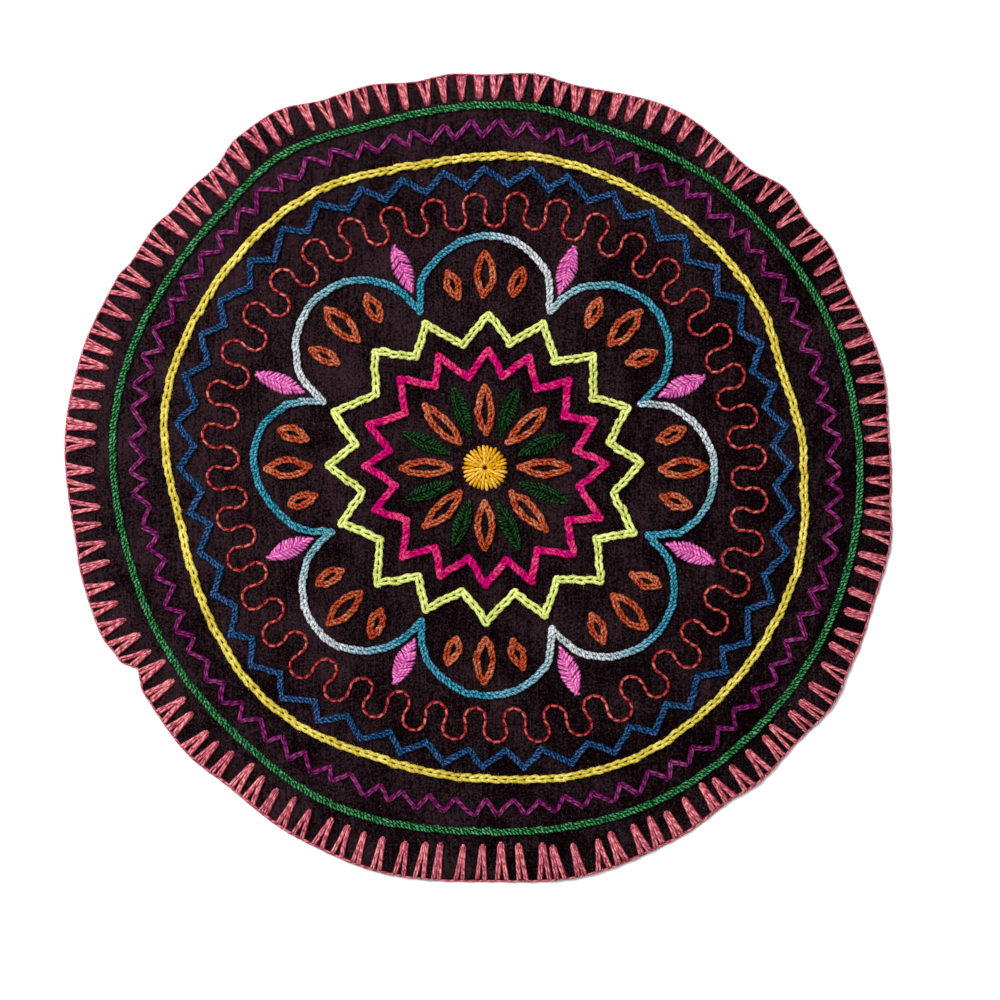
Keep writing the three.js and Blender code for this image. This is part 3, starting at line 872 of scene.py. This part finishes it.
def rounded(line):
    """The stretches of a closed line from corner to corner, curved smoothly through its points."""
    corners = np.flatnonzero(corner_flags(line))
    starts = corners if len(corners) else np.array([0])
    share = np.linspace(0, 1, ROUNDING_STEPS, endpoint=False)[:, None]
    stretches = []
    for start, stop in zip(starts, np.append(starts[1:], starts[0] + len(line))):
        knots = line[np.arange(start, stop + 1) % len(line)]
        if len(corners):
            slopes = np.gradient(knots, axis=0)
        else:
            slopes = (np.roll(line, -1, axis=0) - np.roll(line, 1, axis=0)) / 2
            slopes = np.vstack([slopes, slopes[:1]])
        steps = zip(knots[:-1], knots[1:], slopes[:-1], slopes[1:])
        stretches.append(np.vstack([*(smooth_between(*step, share) for step in steps), knots[-1:]]))
    return stretches


def spaced(stretch, pitch):
    """Points at an even pitch along a stretch, its end left out."""
    run = run_along(stretch)
    count = max(2, round(run[-1] / pitch))
    places = np.linspace(0, run[-1], count, endpoint=False)
    return np.column_stack([np.interp(places, run, stretch[:, axis]) for axis in (0, 1)])


def slips(shape):
    return hand.uniform(-HAND_SLIP, HAND_SLIP, shape)


def needle_holes(line, pitch):
    holes = np.vstack([spaced(stretch, pitch) for stretch in rounded(line)])
    return holes + slips(holes.shape)


blue_corners = corner_flags(sewn_line("blue_zigzag", CHAIN_GROOVE))
print("corners of the blue zigzag:", int(blue_corners.sum()), "of", len(blue_corners), "points")

# %% [markdown]
# ## Rings and zigzags of chain
# Six lines of the rug are chain stitch, and each yarn has its own pitch and thickness: the lustrous
# green is sewn fine and tight, the fuzzy yellow and lime are sewn large. Six functions would say
# the same thing six times, so one function reads a table with a row for each line.

# %% Sew the lines of chain
Chain = namedtuple("Chain", "slot pitch_mm width_mm yarn_mm unevenness seed")
CHAINS = {
    "green_ring": Chain("green_yarn", 3.7, 4.1, 1.9, 0.06, 1),
    "yellow_ring": Chain("yellow_yarn", 4.7, 4.5, 1.95, 0.08, 2),
    "blue_zigzag": Chain("blue_yarn", 3.6, 3.8, 1.75, 0.08, 3),
    "lime_zigzag": Chain("lime_yarn", 4.5, 4.6, 1.95, 0.08, 4),
    "rose_zigzag": Chain("rose_yarn", 3.6, 4.3, 2.15, 0.07, 5),
    "petal_outline": Chain("variegated_yarn", 3.9, 4.2, 1.9, 0.07, 6),
}


def sew_chain(piece_name, nodes, lines, style):
    """Chain stitch along closed lines of needle holes, as one piece."""
    points, toward, run = [], [], []
    for holes in lines:
        spots = on_cloth(holes)
        ways = np.roll(spots, -1, axis=0) - spots
        points.append(spots)
        toward.append(ways)
        run.append(np.cumsum(np.linalg.norm(ways, axis=1)))
    mesh = new_mesh("needle_holes", np.vstack(points), [])
    way = mesh.attributes.new("toward", "FLOAT_VECTOR", "POINT")
    way.data.foreach_set("vector", np.vstack(toward).astype(np.float32).ravel())
    sewn_so_far = mesh.attributes.new("run", "FLOAT", "POINT")
    sewn_so_far.data.foreach_set("value", np.concatenate(run).astype(np.float32))
    pitch = style.pitch_mm * MM
    link = chain_link(pitch, style.width_mm * MM, style.yarn_mm * MM)
    settings = {"Link": link, "Pitch": pitch, "Unevenness": style.unevenness}
    sew(piece_name, nodes, add_object("holes", mesh), CHAIN_TREE, style.slot, style.seed, settings)
    bpy.data.objects.remove(link)


for node, style in CHAINS.items():
    holes = needle_holes(sewn_line(node, CHAIN_GROOVE), style.pitch_mm * MM)
    sew_chain(node + "_chain", [node], [holes], style)

# %% [markdown]
# ## Open leaves in chain stitch
# The orange leaves are only outlined: the chain starts at one point of the leaf, runs up one side
# and back down the other. No leaf has to be placed again, because each solid's two farthest points
# are the leaf's points, and its girth gives the width.

# %% Outline the orange leaves
LEAF_CHAIN = Chain("orange_yarn", 4.0, 3.9, 1.75, 0.08, 7)
LEAF_STEPS = 10
LEAF_INSET = 1.7 * MM  # from the solid's outer edge to the middle of the chain
ORANGE_KINDS = ("orange_heart_leaf", "orange_petal_leaf", "orange_left_leaf", "orange_right_leaf")


def direction(start, end):
    return (end - start) / np.linalg.norm(end - start)


def left_of(way):
    return np.array([-way[1], way[0]])


def leaf_frame(node):
    """A leaf's foot, its tip and its full width, with the foot nearer the centre."""
    flat = node_points(node)[:, :2]
    gaps = np.linalg.norm(flat[:, None] - flat[None], axis=2)
    ends = flat[list(np.unravel_index(np.argmax(gaps), gaps.shape))]
    foot, tip = ends[np.argsort(np.linalg.norm(ends - CENTRE, axis=1))]
    off = (flat - foot) @ left_of(direction(foot, tip))
    return foot, tip, off.max() - off.min()


def leaf_point(foot, tip, share, offset):
    return foot + (tip - foot) * share + left_of(direction(foot, tip)) * offset


def half_width(width, share):
    return width / 2 * (1 - (2 * share - 1) ** 2)


def leaf_outline(foot, tip, width):
    shares = np.linspace(0, 1, LEAF_STEPS, endpoint=False)
    up = [(share, half_width(width, share)) for share in shares]
    down = [(1 - share, -offset) for share, offset in up]
    return np.array([leaf_point(foot, tip, share, offset) for share, offset in up + down])


def leaf_nodes(*kinds):
    return [node for node in sorted(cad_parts) if node.rsplit("_", 1)[0] in kinds]


orange_nodes = leaf_nodes(*ORANGE_KINDS)
outlines = []
for node in orange_nodes:
    foot, tip, width = leaf_frame(node)
    trim = direction(foot, tip) * LEAF_INSET
    outline = leaf_outline(foot + trim, tip - trim, width - 2 * LEAF_INSET)
    outlines.append(needle_holes(outline, LEAF_CHAIN.pitch_mm * MM))
sew_chain("orange_leaves_chain", orange_nodes, outlines, LEAF_CHAIN)

# %% [markdown]
# ## Straight stitches
# All the other sewing is strands of yarn that come up through the cloth, lie on it and go down
# again. Each strand is a short curve with its own rise and taper, and one tree turns any set of
# such curves into round yarn with a UV map along it. The curves keep their normals upright, so the
# seam of the UV map lies below.

# %% Build the straight stitch tree
SEAM_BELOW = (0, 0, TURN / 4 + TURN / 2 / YARN_SIDES)  # the turn that brings the yarn's seam below


def captured(tree, geometry, name, parameter):
    """The curves with a parameter of theirs remembered, and that parameter."""
    node = add_node(tree, "GeometryNodeCaptureAttribute", {"Geometry": geometry})
    node.capture_items.new("FLOAT", name)
    tree.links.new(wired(tree, "GeometryNodeSplineParameter", output=parameter), node.inputs[name])
    return node.outputs[0], node.outputs[name]


def stitch_tree():
    tree, given = new_tree("straight_stitch", {"Yarn": "Float", "Flatness": "Float"})
    upright = wired(tree, "GeometryNodeSetCurveNormal", {"Curve": given["Geometry"]}, mode="Z_UP")
    strands = stored(tree, upright, "tint", random_number(tree, given["Seed"]), domain="CURVE")
    strands, along = captured(tree, strands, "along", "Length")
    size = {"Resolution": YARN_SIDES, "Radius": math_node(tree, "MULTIPLY", given["Yarn"], 0.5)}
    circle = wired(tree, "GeometryNodeCurvePrimitiveCircle", size)
    circle = wired(tree, "GeometryNodeTransform", {"Geometry": circle, "Rotation": SEAM_BELOW})
    squash = vector_of(tree, 1.0, given["Flatness"], 1.0)
    circle = wired(tree, "GeometryNodeTransform", {"Geometry": circle, "Scale": squash})
    circle, around = captured(tree, circle, "around", "Factor")
    taper = wired(tree, "GeometryNodeInputRadius")
    sweep = {"Curve": strands, "Profile Curve": circle, "Scale": taper, "Fill Caps": True}
    tubes = wired(tree, "GeometryNodeCurveToMesh", sweep)
    mapped = stored(tree, tubes, "UVMap", vector_of(tree, around, along), "FLOAT2", "CORNER")
    return finish_tree(tree, mapped, given["Material"])


STITCH_TREE = stitch_tree()

# %% [markdown]
# One stitch rises steeply out of its hole, lies nearly level and dives back, thinner where the
# cloth grips it. A straight tube would float or sink where the cloth ripples, so every point of the
# arch is set on the cloth's own lie.

# %% Bend strands of yarn
ArchRow = namedtuple("ArchRow", "along up thickness")
STITCH_ARCH = (
    ArchRow(0.00, -0.55, 0.60),  # out of the cloth
    ArchRow(0.05, 0.08, 0.85),
    ArchRow(0.17, 0.42, 1.00),
    ArchRow(0.50, 0.52, 1.00),
    ArchRow(0.83, 0.42, 1.00),
    ArchRow(0.95, 0.08, 0.85),
    ArchRow(1.00, -0.55, 0.60),  # back into it
)
Strand = namedtuple("Strand", "points thickness")


def straight_stitch(start, end, yarn, lift=0.0, bow=0.0):
    """One stitch from hole to hole, arched, lifted where it crosses others, and bowed sideways."""
    side = left_of(direction(start, end))
    flat = []
    for row in STITCH_ARCH:
        flat.append(start + (end - start) * row.along + side * bow * math.sin(math.pi * row.along))
    points = on_cloth(flat, np.array([row.up * yarn for row in STITCH_ARCH]))
    points[1:-1, 2] += lift
    return Strand(points, [row.thickness for row in STITCH_ARCH])


def sew_strands(piece_name, nodes, strands, yarn, slot, seed, closed=False, flatness=YARN_FLATNESS):
    curve = bpy.data.curves.new("strands", "CURVE")
    curve.dimensions = "3D"
    for strand in strands:
        spline = curve.splines.new("POLY")
        spline.points.add(len(strand.points) - 1)
        weighted = np.column_stack([strand.points, np.ones(len(strand.points))])
        spline.points.foreach_set("co", weighted.ravel())
        spline.points.foreach_set("radius", strand.thickness)
        spline.use_cyclic_u = closed
    settings = {"Yarn": yarn, "Flatness": flatness}
    sew(piece_name, nodes, add_object("strands", curve), STITCH_TREE, slot, seed, settings)


print("a stitch bends at", len(STITCH_ARCH), "points")

# %% [markdown]
# ## Violet zigzag
# Every leg of the violet zigzag is one long straight stitch, from corner to corner, in doubled
# yarn. One thick strand would look like cord, so both yarns are sewn: they bow to the same side,
# but each of their ends misses the corner a little in its own way.

# %% Sew the violet zigzag
VIOLET_YARN = 1.7 * MM
VIOLET_APART = 1.05 * MM  # the needle carries the yarn double
VIOLET_BOW = 0.7 * MM  # how far a leg may bow to one side
VIOLET_SLIP = 2  # a long leg's ends may miss by this many times as much as a needle hole
corners = sewn_line("violet_zigzag", STRAND_CREST)
legs = []
for start, end in zip(corners, np.roll(corners, -1, axis=0)):
    bow = VIOLET_BOW * hand.uniform(-1, 1)
    for side in (-1, 1):
        off = left_of(direction(start, end)) * side * VIOLET_APART / 2
        slip = slips((2, 2)) * VIOLET_SLIP
        ends = start + off + slip[0], end + off + slip[1]
        legs.append(straight_stitch(*ends, VIOLET_YARN, bow=bow))
sew_strands("violet_zigzag_stitches", ["violet_zigzag"], legs, VIOLET_YARN, "violet_yarn", 11)

# %% [markdown]
# ## Red meander
# The red filling is backstitch: short stitches, end to end, round three-quarter bends that swing
# outward and inward in turn. Its solid has only a few points to a bend, too few to sew by, so the
# same rule draws the line again with many more.

# %% Sew the red meander
YELLOW_MEAN = 158.5 * MM  # the yellow ring's radius where it neither swells nor draws in
MEANDER_BENDS = 80
MEANDER_RADIUS = 131.0 * MM
BEND_HALF_SWEEP = math.radians(120)
BEND_STEPS = 24
BACKSTITCH = 4.4 * MM
BACKSTITCH_GAP = 0.09  # of a stitch, left bare at each end
RED_YARN = 1.8 * MM


def in_medallion(bearing, radius):
    """Points inside the yellow ring, which follow that ring where it swells or draws in."""
    reach = radius * yellow_at(bearing) / YELLOW_MEAN
    x = CENTRE[0] + reach * np.cos(bearing)
    y = CENTRE[1] + reach * np.sin(bearing)
    return np.column_stack([x, y])


def meander_line():
    pitch = TURN * MEANDER_RADIUS / MEANDER_BENDS
    bend_radius = pitch / 2 / math.sin(BEND_HALF_SWEEP)
    swing = np.linspace(-BEND_HALF_SWEEP, BEND_HALF_SWEEP, BEND_STEPS, endpoint=False)
    line = []
    for bend in range(MEANDER_BENDS):
        side = -1 if bend % 2 else 1
        along = (bend + 0.5) * pitch + bend_radius * np.sin(swing)
        away = side * bend_radius * (np.cos(swing) - math.cos(BEND_HALF_SWEEP))
        line.append(in_medallion(along / MEANDER_RADIUS, MEANDER_RADIUS + away))
    return np.vstack([*line, line[0][:1]])


holes = spaced(meander_line(), BACKSTITCH)
holes = holes + slips(holes.shape)
backstitches = []
for start, end in zip(holes, np.roll(holes, -1, axis=0)):
    bare = (end - start) * BACKSTITCH_GAP
    backstitches.append(straight_stitch(start + bare, end - bare, RED_YARN))
sew_strands("red_meander_stitches", ["red_meander"], backstitches, RED_YARN, "red_yarn", 12)

# %% [markdown]
# ## Filled leaves
# A fishbone leaf is filled from both sides in turn: each strand starts at the leaf's edge and
# crosses the midrib a little, over the strand before it, so the middle looks plaited. The dark
# green leaves leave the midrib open as a slit, which is the same rule with a crossing below nought.

# %% Fill the pink and the green leaves
Fill = namedtuple("Fill", "kind slot yarn_mm spacing_mm slant crossing_mm seed")
FILLS = (
    Fill("pink_leaf", "bright_pink_yarn", 1.7, 1.75, 0.16, 1.1, 13),
    Fill("green_leaf", "dark_green_yarn", 1.6, 1.7, 0.13, -0.35, 14),
)
PLAIT_RISE = 0.35 * MM
LEAST_HALF_WIDTH = 0.4 * MM  # at a leaf's points
ROW_SLIP = 0.02  # of the leaf's length
WIDTH_SLIP = 0.06  # of its width


def fishbone(foot, tip, width, fill):
    length = np.linalg.norm(tip - foot)
    rows = round(length * (1 - fill.slant) / (fill.spacing_mm * MM))
    strands = []
    for row in range(rows + 1):
        share = row / rows * (1 - fill.slant)
        for side in (-1, 1):
            start = share + ROW_SLIP * hand.uniform(-1, 1)
            offset = max(half_width(width, share), LEAST_HALF_WIDTH)
            offset *= 1 + WIDTH_SLIP * hand.uniform(-1, 1)
            edge = leaf_point(foot, tip, start, side * offset)
            inner = leaf_point(foot, tip, start + fill.slant, -side * fill.crossing_mm * MM)
            lift = PLAIT_RISE if side > 0 else 0.0
            strands.append(straight_stitch(edge, inner, fill.yarn_mm * MM, lift))
    return strands


for fill in FILLS:
    nodes = leaf_nodes(fill.kind)
    strands = [strand for node in nodes for strand in fishbone(*leaf_frame(node), fill)]
    sew_strands(fill.kind + "_stitches", nodes, strands, fill.yarn_mm * MM, fill.slot, fill.seed)

# %% [markdown]
# ## Gold heart
# The heart is a round of straight stitches like the rays of a sun. Long rays from near the
# middle lie over short ones that start farther out, because so many strands have no room at the
# centre.

# %% Sew the gold heart
HEART_STITCHES = 30
HEART_YARN = 1.8 * MM
LONG_RAY_START = 1.2 * MM
SHORT_RAY_START = 5.0 * MM
RAY_TURN_SLIP = 0.12  # of the way to the next ray
RAY_LENGTH_SLIP = 0.04
heart_reach = float(np.ptp(np.array(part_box("gold_heart"))[:, 0])) / 2
rays = []
for ray in range(HEART_STITCHES):
    turn = TURN * (ray + RAY_TURN_SLIP * hand.uniform(-1, 1)) / HEART_STITCHES
    way = np.array([math.cos(turn), math.sin(turn)])
    start, lift = (SHORT_RAY_START, 0.0) if ray % 2 else (LONG_RAY_START, PLAIT_RISE)
    outer = CENTRE + way * heart_reach * (1 + RAY_LENGTH_SLIP * hand.uniform(-1, 1))
    rays.append(straight_stitch(CENTRE + way * start, outer, HEART_YARN, lift))
sew_strands("gold_heart_stitches", ["gold_heart"], rays, HEART_YARN, "gold_yarn", 15)

# %% [markdown]
# ## The blanket-stitched edge
# Pairs of strands come up side by side at one hole, spread apart as they run out, and go over the
# cut edge, where a strand along the rim, the purl, ties each one to the next. The unevenness below
# repeats the rule that placed the pairs in the solid, so each pair of strands lies where its solid
# does.

# %% Place the pairs of edge stitches
CLOTH_INSET = 1.2 * MM  # the cloth ends this far inside the finished edge
POINT_CLEARANCE = 3.2 * MM  # between the pairs' points and the middle of the green ring
Zone = namedtuple("Zone", "depth_mm foot_mm point_mm")
EDGE_ZONES = {  # by bearing in degrees
    0: Zone(15.0, 6.6, 2.4),
    40: Zone(14.8, 6.4, 2.4),
    90: Zone(14.5, 6.2, 2.2),
    135: Zone(16.0, 6.6, 2.4),
    185: Zone(15.0, 6.8, 2.2),
    232: Zone(16.0, 6.4, 2.6),
    268: Zone(19.5, 5.8, 2.6),
    300: Zone(15.5, 6.6, 2.6),
    325: Zone(15.5, 5.8, 3.2),
    345: Zone(14.5, 5.2, 3.6),
    352: Zone(14.8, 6.2, 2.6),
    360: Zone(15.0, 6.6, 2.4),
}
Slip = namedtuple("Slip", "seed share")
PLACE_SLIP = Slip(0, 0.14)
LEAN_SLIP = Slip(200, 0.14)
FOOT_SLIP = Slip(400, 0.32)
POINT_SLIP = Slip(500, 0.20)
DEPTH_SLIP = Slip(600, 0.08)
WAVE_STEP, WAVE_HEIGHT = 12.9898, 43758.5453  # as in the solid: a wave too steep to show any order
EdgePair = namedtuple("EdgePair", "bearing lean foot point depth")


def uneven(seed):
    wave = math.sin(seed * WAVE_STEP) * WAVE_HEIGHT
    return 2 * (wave - math.floor(wave)) - 1


def slipped(slip, index):
    return slip.share * uneven(index + slip.seed)


def level_at(table, bearing):
    """What a table gives at a bearing, smooth from each row to the next."""
    turn = math.degrees(bearing) % 360
    before = max(row for row in table if row <= turn)
    after = min(row for row in table if row > turn)
    low, high = np.array(table[before]), np.array(table[after])
    share = (turn - before) / (after - before)
    eased = share * share * (3 - 2 * share)
    return low + (high - low) * eased


def edge_reach(bearing):
    return rim_at(bearing) + CLOTH_INSET


def edge_pair(index):
    step = TURN / EDGE_PAIRS
    bearing = (index + 0.5 + slipped(PLACE_SLIP, index)) * step
    depth, foot, point = level_at(EDGE_ZONES, bearing) * MM
    room = edge_reach(bearing) - green_at(bearing) - POINT_CLEARANCE
    crowding = 1 - abs(uneven(index)) / 2
    return EdgePair(
        bearing,
        slipped(LEAN_SLIP, index) * step,
        foot * (1 + slipped(FOOT_SLIP, index) * crowding),
        point * (1 + slipped(POINT_SLIP, index)),
        min(depth * (1 + slipped(DEPTH_SLIP, index)), room),
    )


pairs = [edge_pair(index) for index in range(EDGE_PAIRS)]
print("deepest pair:", max(pair.depth for pair in pairs) / MM, "mm")

# %% [markdown]
# Each leg of a pair is doubled yarn, so four yarns start at its point. They leave the hole crowded
# together, part slowly, turn over the rim and end under the cloth. One even thickness would look
# machine-made: the maker's yarn is thicker in some stretches of the rim than in others, and a table
# by bearing repeats that.

# %% Sew the edge
EDGE_YARN = 1.55 * MM
EDGE_STRAND = 2.2 * MM  # across a doubled strand of the solid
EDGE_APART = 1.15 * MM  # between the two yarns of a strand
POINT_ROUNDING = 0.9 * MM  # the outer yarns start this much nearer the rim
POINT_CROWDING = 0.5 * MM  # at its point a pair's yarns span this much less than its solid does
LEG_OPENING = 1.35  # how late the two legs part on their way out
EDGE_SLACK = 0.25 * MM  # how far a yarn may sway
YARN_GIRTHS = {  # how thick the yarn is sewn, by bearing in degrees
    0: 1.00, 22: 0.90, 37: 0.88, 52: 1.00, 67: 1.40, 82: 1.38, 97: 1.22, 112: 1.06, 127: 1.34,
    142: 1.04, 157: 1.08, 172: 1.42, 187: 1.03, 202: 1.28, 217: 1.33, 232: 1.22, 247: 1.05,
    262: 0.94, 277: 1.05, 292: 1.30, 307: 1.26, 322: 0.84, 337: 1.04, 352: 0.98, 360: 1.00,
}
OverRow = namedtuple("OverRow", "share up thickness")
OVER_EDGE = (
    OverRow(0.00, -0.60, 0.65),  # out of the hole at the point of the pair
    OverRow(0.03, 0.20, 0.90),
    OverRow(0.10, 0.55, 1.00),
    OverRow(0.28, 0.70, 1.00),
    OverRow(0.50, 0.72, 1.00),
    OverRow(0.74, 0.62, 1.00),
    OverRow(0.93, 0.42, 0.95),
    OverRow(1.015, -0.15, 0.90),  # over the rim
    OverRow(0.99, -0.95, 0.80),
    OverRow(0.90, -1.15, 0.70),  # under the cloth
)


def at_bearing(turn, radius):
    return CENTRE + radius * np.array([math.cos(turn), math.sin(turn)])


def over_edge(pair, leg, yarn):
    """One yarn of one leg of a pair, from the pair's point to the rim and under it."""
    reach = edge_reach(pair.bearing)
    girth = float(level_at(YARN_GIRTHS, pair.bearing))
    foot = leg * (pair.foot - EDGE_STRAND) / 2 + yarn * girth * EDGE_APART / 2
    point = (leg + yarn / 2) * (pair.point - POINT_CROWDING) / 3  # four yarns make three gaps
    slack = EDGE_SLACK * hand.uniform(-1, 1)
    depth = pair.depth - CLOTH_INSET - (POINT_ROUNDING if leg == yarn else 0)
    flat = []
    for row in OVER_EDGE:
        out = min(row.share, 1)
        opened = out**LEG_OPENING
        sway = slack * math.sin(math.pi * out)
        aside = point + (foot - point) * opened + sway
        turn = pair.bearing + pair.lean * (1 - opened) + aside / reach
        flat.append(at_bearing(turn, rim_at(turn) - depth * (1 - row.share)))
    points = on_cloth(flat, np.array([row.up * EDGE_YARN for row in OVER_EDGE]))
    points[:, 2] = np.maximum(points[:, 2], EDGE_YARN / 2)
    return Strand(points, [row.thickness * girth for row in OVER_EDGE])


strands = [over_edge(pair, leg, yarn) for pair in pairs for leg in (-1, 1) for yarn in (-1, 1)]
sew_strands("edge_stitches", ["edge_stitching"], strands, EDGE_YARN, "pink_yarn", 16)

# %% [markdown]
# ## The purl
# The purl is the one strand that runs right round the rug. It bows out a little between the
# stitches that tie it, and where it was sewn slack it swells and rolls onto the cloth. One closed
# curve, with its girth from a table, keeps its outer side on the finished edge all the way.

# %% Run the purl along the rim
PURL_YARN = 1.0 * MM
PURL_STEPS = 8  # from one stitch to the next
PURL_EDGE = 0.85 * MM  # the purl's outer side stands this far outside the cloth's solid
PURL_BOW = 0.15 * MM  # outward, between the stitches that tie it
PURL_DROP = 0.4 * MM  # below the cloth's face
PURL_GIRTHS = {  # how thick the purl is, by bearing in degrees
    0: 1.15, 25: 1.00, 60: 1.00, 90: 1.00, 110: 0.90, 150: 0.90, 167: 1.30, 185: 1.20, 200: 1.40,
    215: 1.20, 232: 2.00, 250: 1.70, 265: 1.20, 278: 1.30, 292: 1.70, 307: 1.80, 322: 1.10,
    335: 1.50, 350: 1.20, 360: 1.15,
}
feet = []
for pair in pairs:
    half_foot = (pair.foot - EDGE_STRAND) / 2 / edge_reach(pair.bearing)
    feet += [pair.bearing - half_foot, pair.bearing + half_foot]
rim_line, girths = [], []
for start, end in zip(feet, feet[1:] + [feet[0] + TURN]):
    for share in np.arange(PURL_STEPS) / PURL_STEPS:
        turn = start + (end - start) * share
        girth = float(level_at(PURL_GIRTHS, turn))
        bow = PURL_BOW * math.sin(math.pi * share)
        radius = rim_at(turn) + PURL_EDGE - girth * PURL_YARN / 2 + bow
        rim_line.append(at_bearing(turn, radius))
        girths.append(girth)
rim_line = on_cloth(rim_line, -PURL_DROP)
rim_line[:, 2] = np.maximum(rim_line[:, 2], np.array(girths) * PURL_YARN / 2)
purl = [Strand(rim_line, girths)]
sew_strands("edge_purl", [], purl, PURL_YARN, "pink_yarn", 17, closed=True, flatness=1.0)

# %% [markdown]
# ## Stage, light and camera
# The rug lies on a plain pale floor. Light from all round would leave the stitches flat, so a wide
# soft lamp from the upper left gives every strand a lit side and a small shadow, a weak one
# opposite lifts the far sides, and a pale sky fills in the rest. The camera looks straight down.

# %% Set the stage
FLOOR_SIZE = 6.0
FLOOR_SURFACE = {"Base Color": (0.90, 0.90, 0.90, 1), "Roughness": 0.9, "Specular IOR Level": 0.1}
Lamp = namedtuple("Lamp", "name place size watts")
LAMPS = (
    Lamp("key_lamp", (-0.85, 0.85, 1.65), 0.9, 46),
    Lamp("fill_lamp", (0.9, -0.6, 1.5), 1.6, 6),
)
SKY = {"Color": WHITE, "Strength": 0.42}
SENSOR_WIDTH = 36.0
PHOTO_WIDTH = 0.5  # metres across the picture at the rug
CAMERA_HEIGHT = 1.2
PICTURE_CENTRE = (10.89 * MM, -11.29 * MM)


def lay_floor():
    half = FLOOR_SIZE / 2
    corners = [(-half, -half, 0), (half, -half, 0), (half, half, 0), (-half, half, 0)]
    mesh = new_mesh("floor", corners, [(0, 1, 2, 3)])
    material, tree, shader = new_material("pale_floor")
    set_inputs(tree, shader, FLOOR_SURFACE)
    mesh.materials.append(material)
    add_object("floor", mesh)


def hang_lamp(lamp):
    light = bpy.data.lights.new(lamp.name, "AREA")
    light.shape = "DISK"
    light.size = lamp.size
    light.energy = lamp.watts
    source = add_object(lamp.name, light)
    source.location = lamp.place
    x, y, z = lamp.place
    source.rotation_euler = (0, math.acos(z / np.linalg.norm(lamp.place)), math.atan2(y, x))


lay_floor()
for lamp in LAMPS:
    hang_lamp(lamp)
world = bpy.data.worlds.new("pale_sky")
world.use_nodes = True
set_inputs(world.node_tree, world.node_tree.nodes["Background"], SKY)
bpy.context.scene.world = world
bpy.context.scene.view_settings.view_transform = "Standard"
camera = bpy.data.cameras.new("camera")
camera.sensor_width = SENSOR_WIDTH
camera.lens = SENSOR_WIDTH * CAMERA_HEIGHT / PHOTO_WIDTH
viewer = add_object("camera", camera)
viewer.location = (*PICTURE_CENTRE, CAMERA_HEIGHT)
bpy.context.scene.camera = viewer
print("camera at", tuple(viewer.location), "lens", camera.lens)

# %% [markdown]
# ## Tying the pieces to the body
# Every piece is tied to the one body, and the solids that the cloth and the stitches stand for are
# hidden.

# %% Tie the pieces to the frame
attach(cloth, "root")
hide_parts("cloth")
for sewn in sewn_pieces:
    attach(sewn.piece, "root")
    if sewn.nodes:
        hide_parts(*sewn.nodes)
stitching = [sewn.piece for sewn in sewn_pieces]
triangles = 0
for piece in [cloth, *stitching]:
    piece.data.calc_loop_triangles()
    triangles += len(piece.data.loop_triangles)
print("pieces:", len(stitching) + 1, "triangles in all:", triangles)
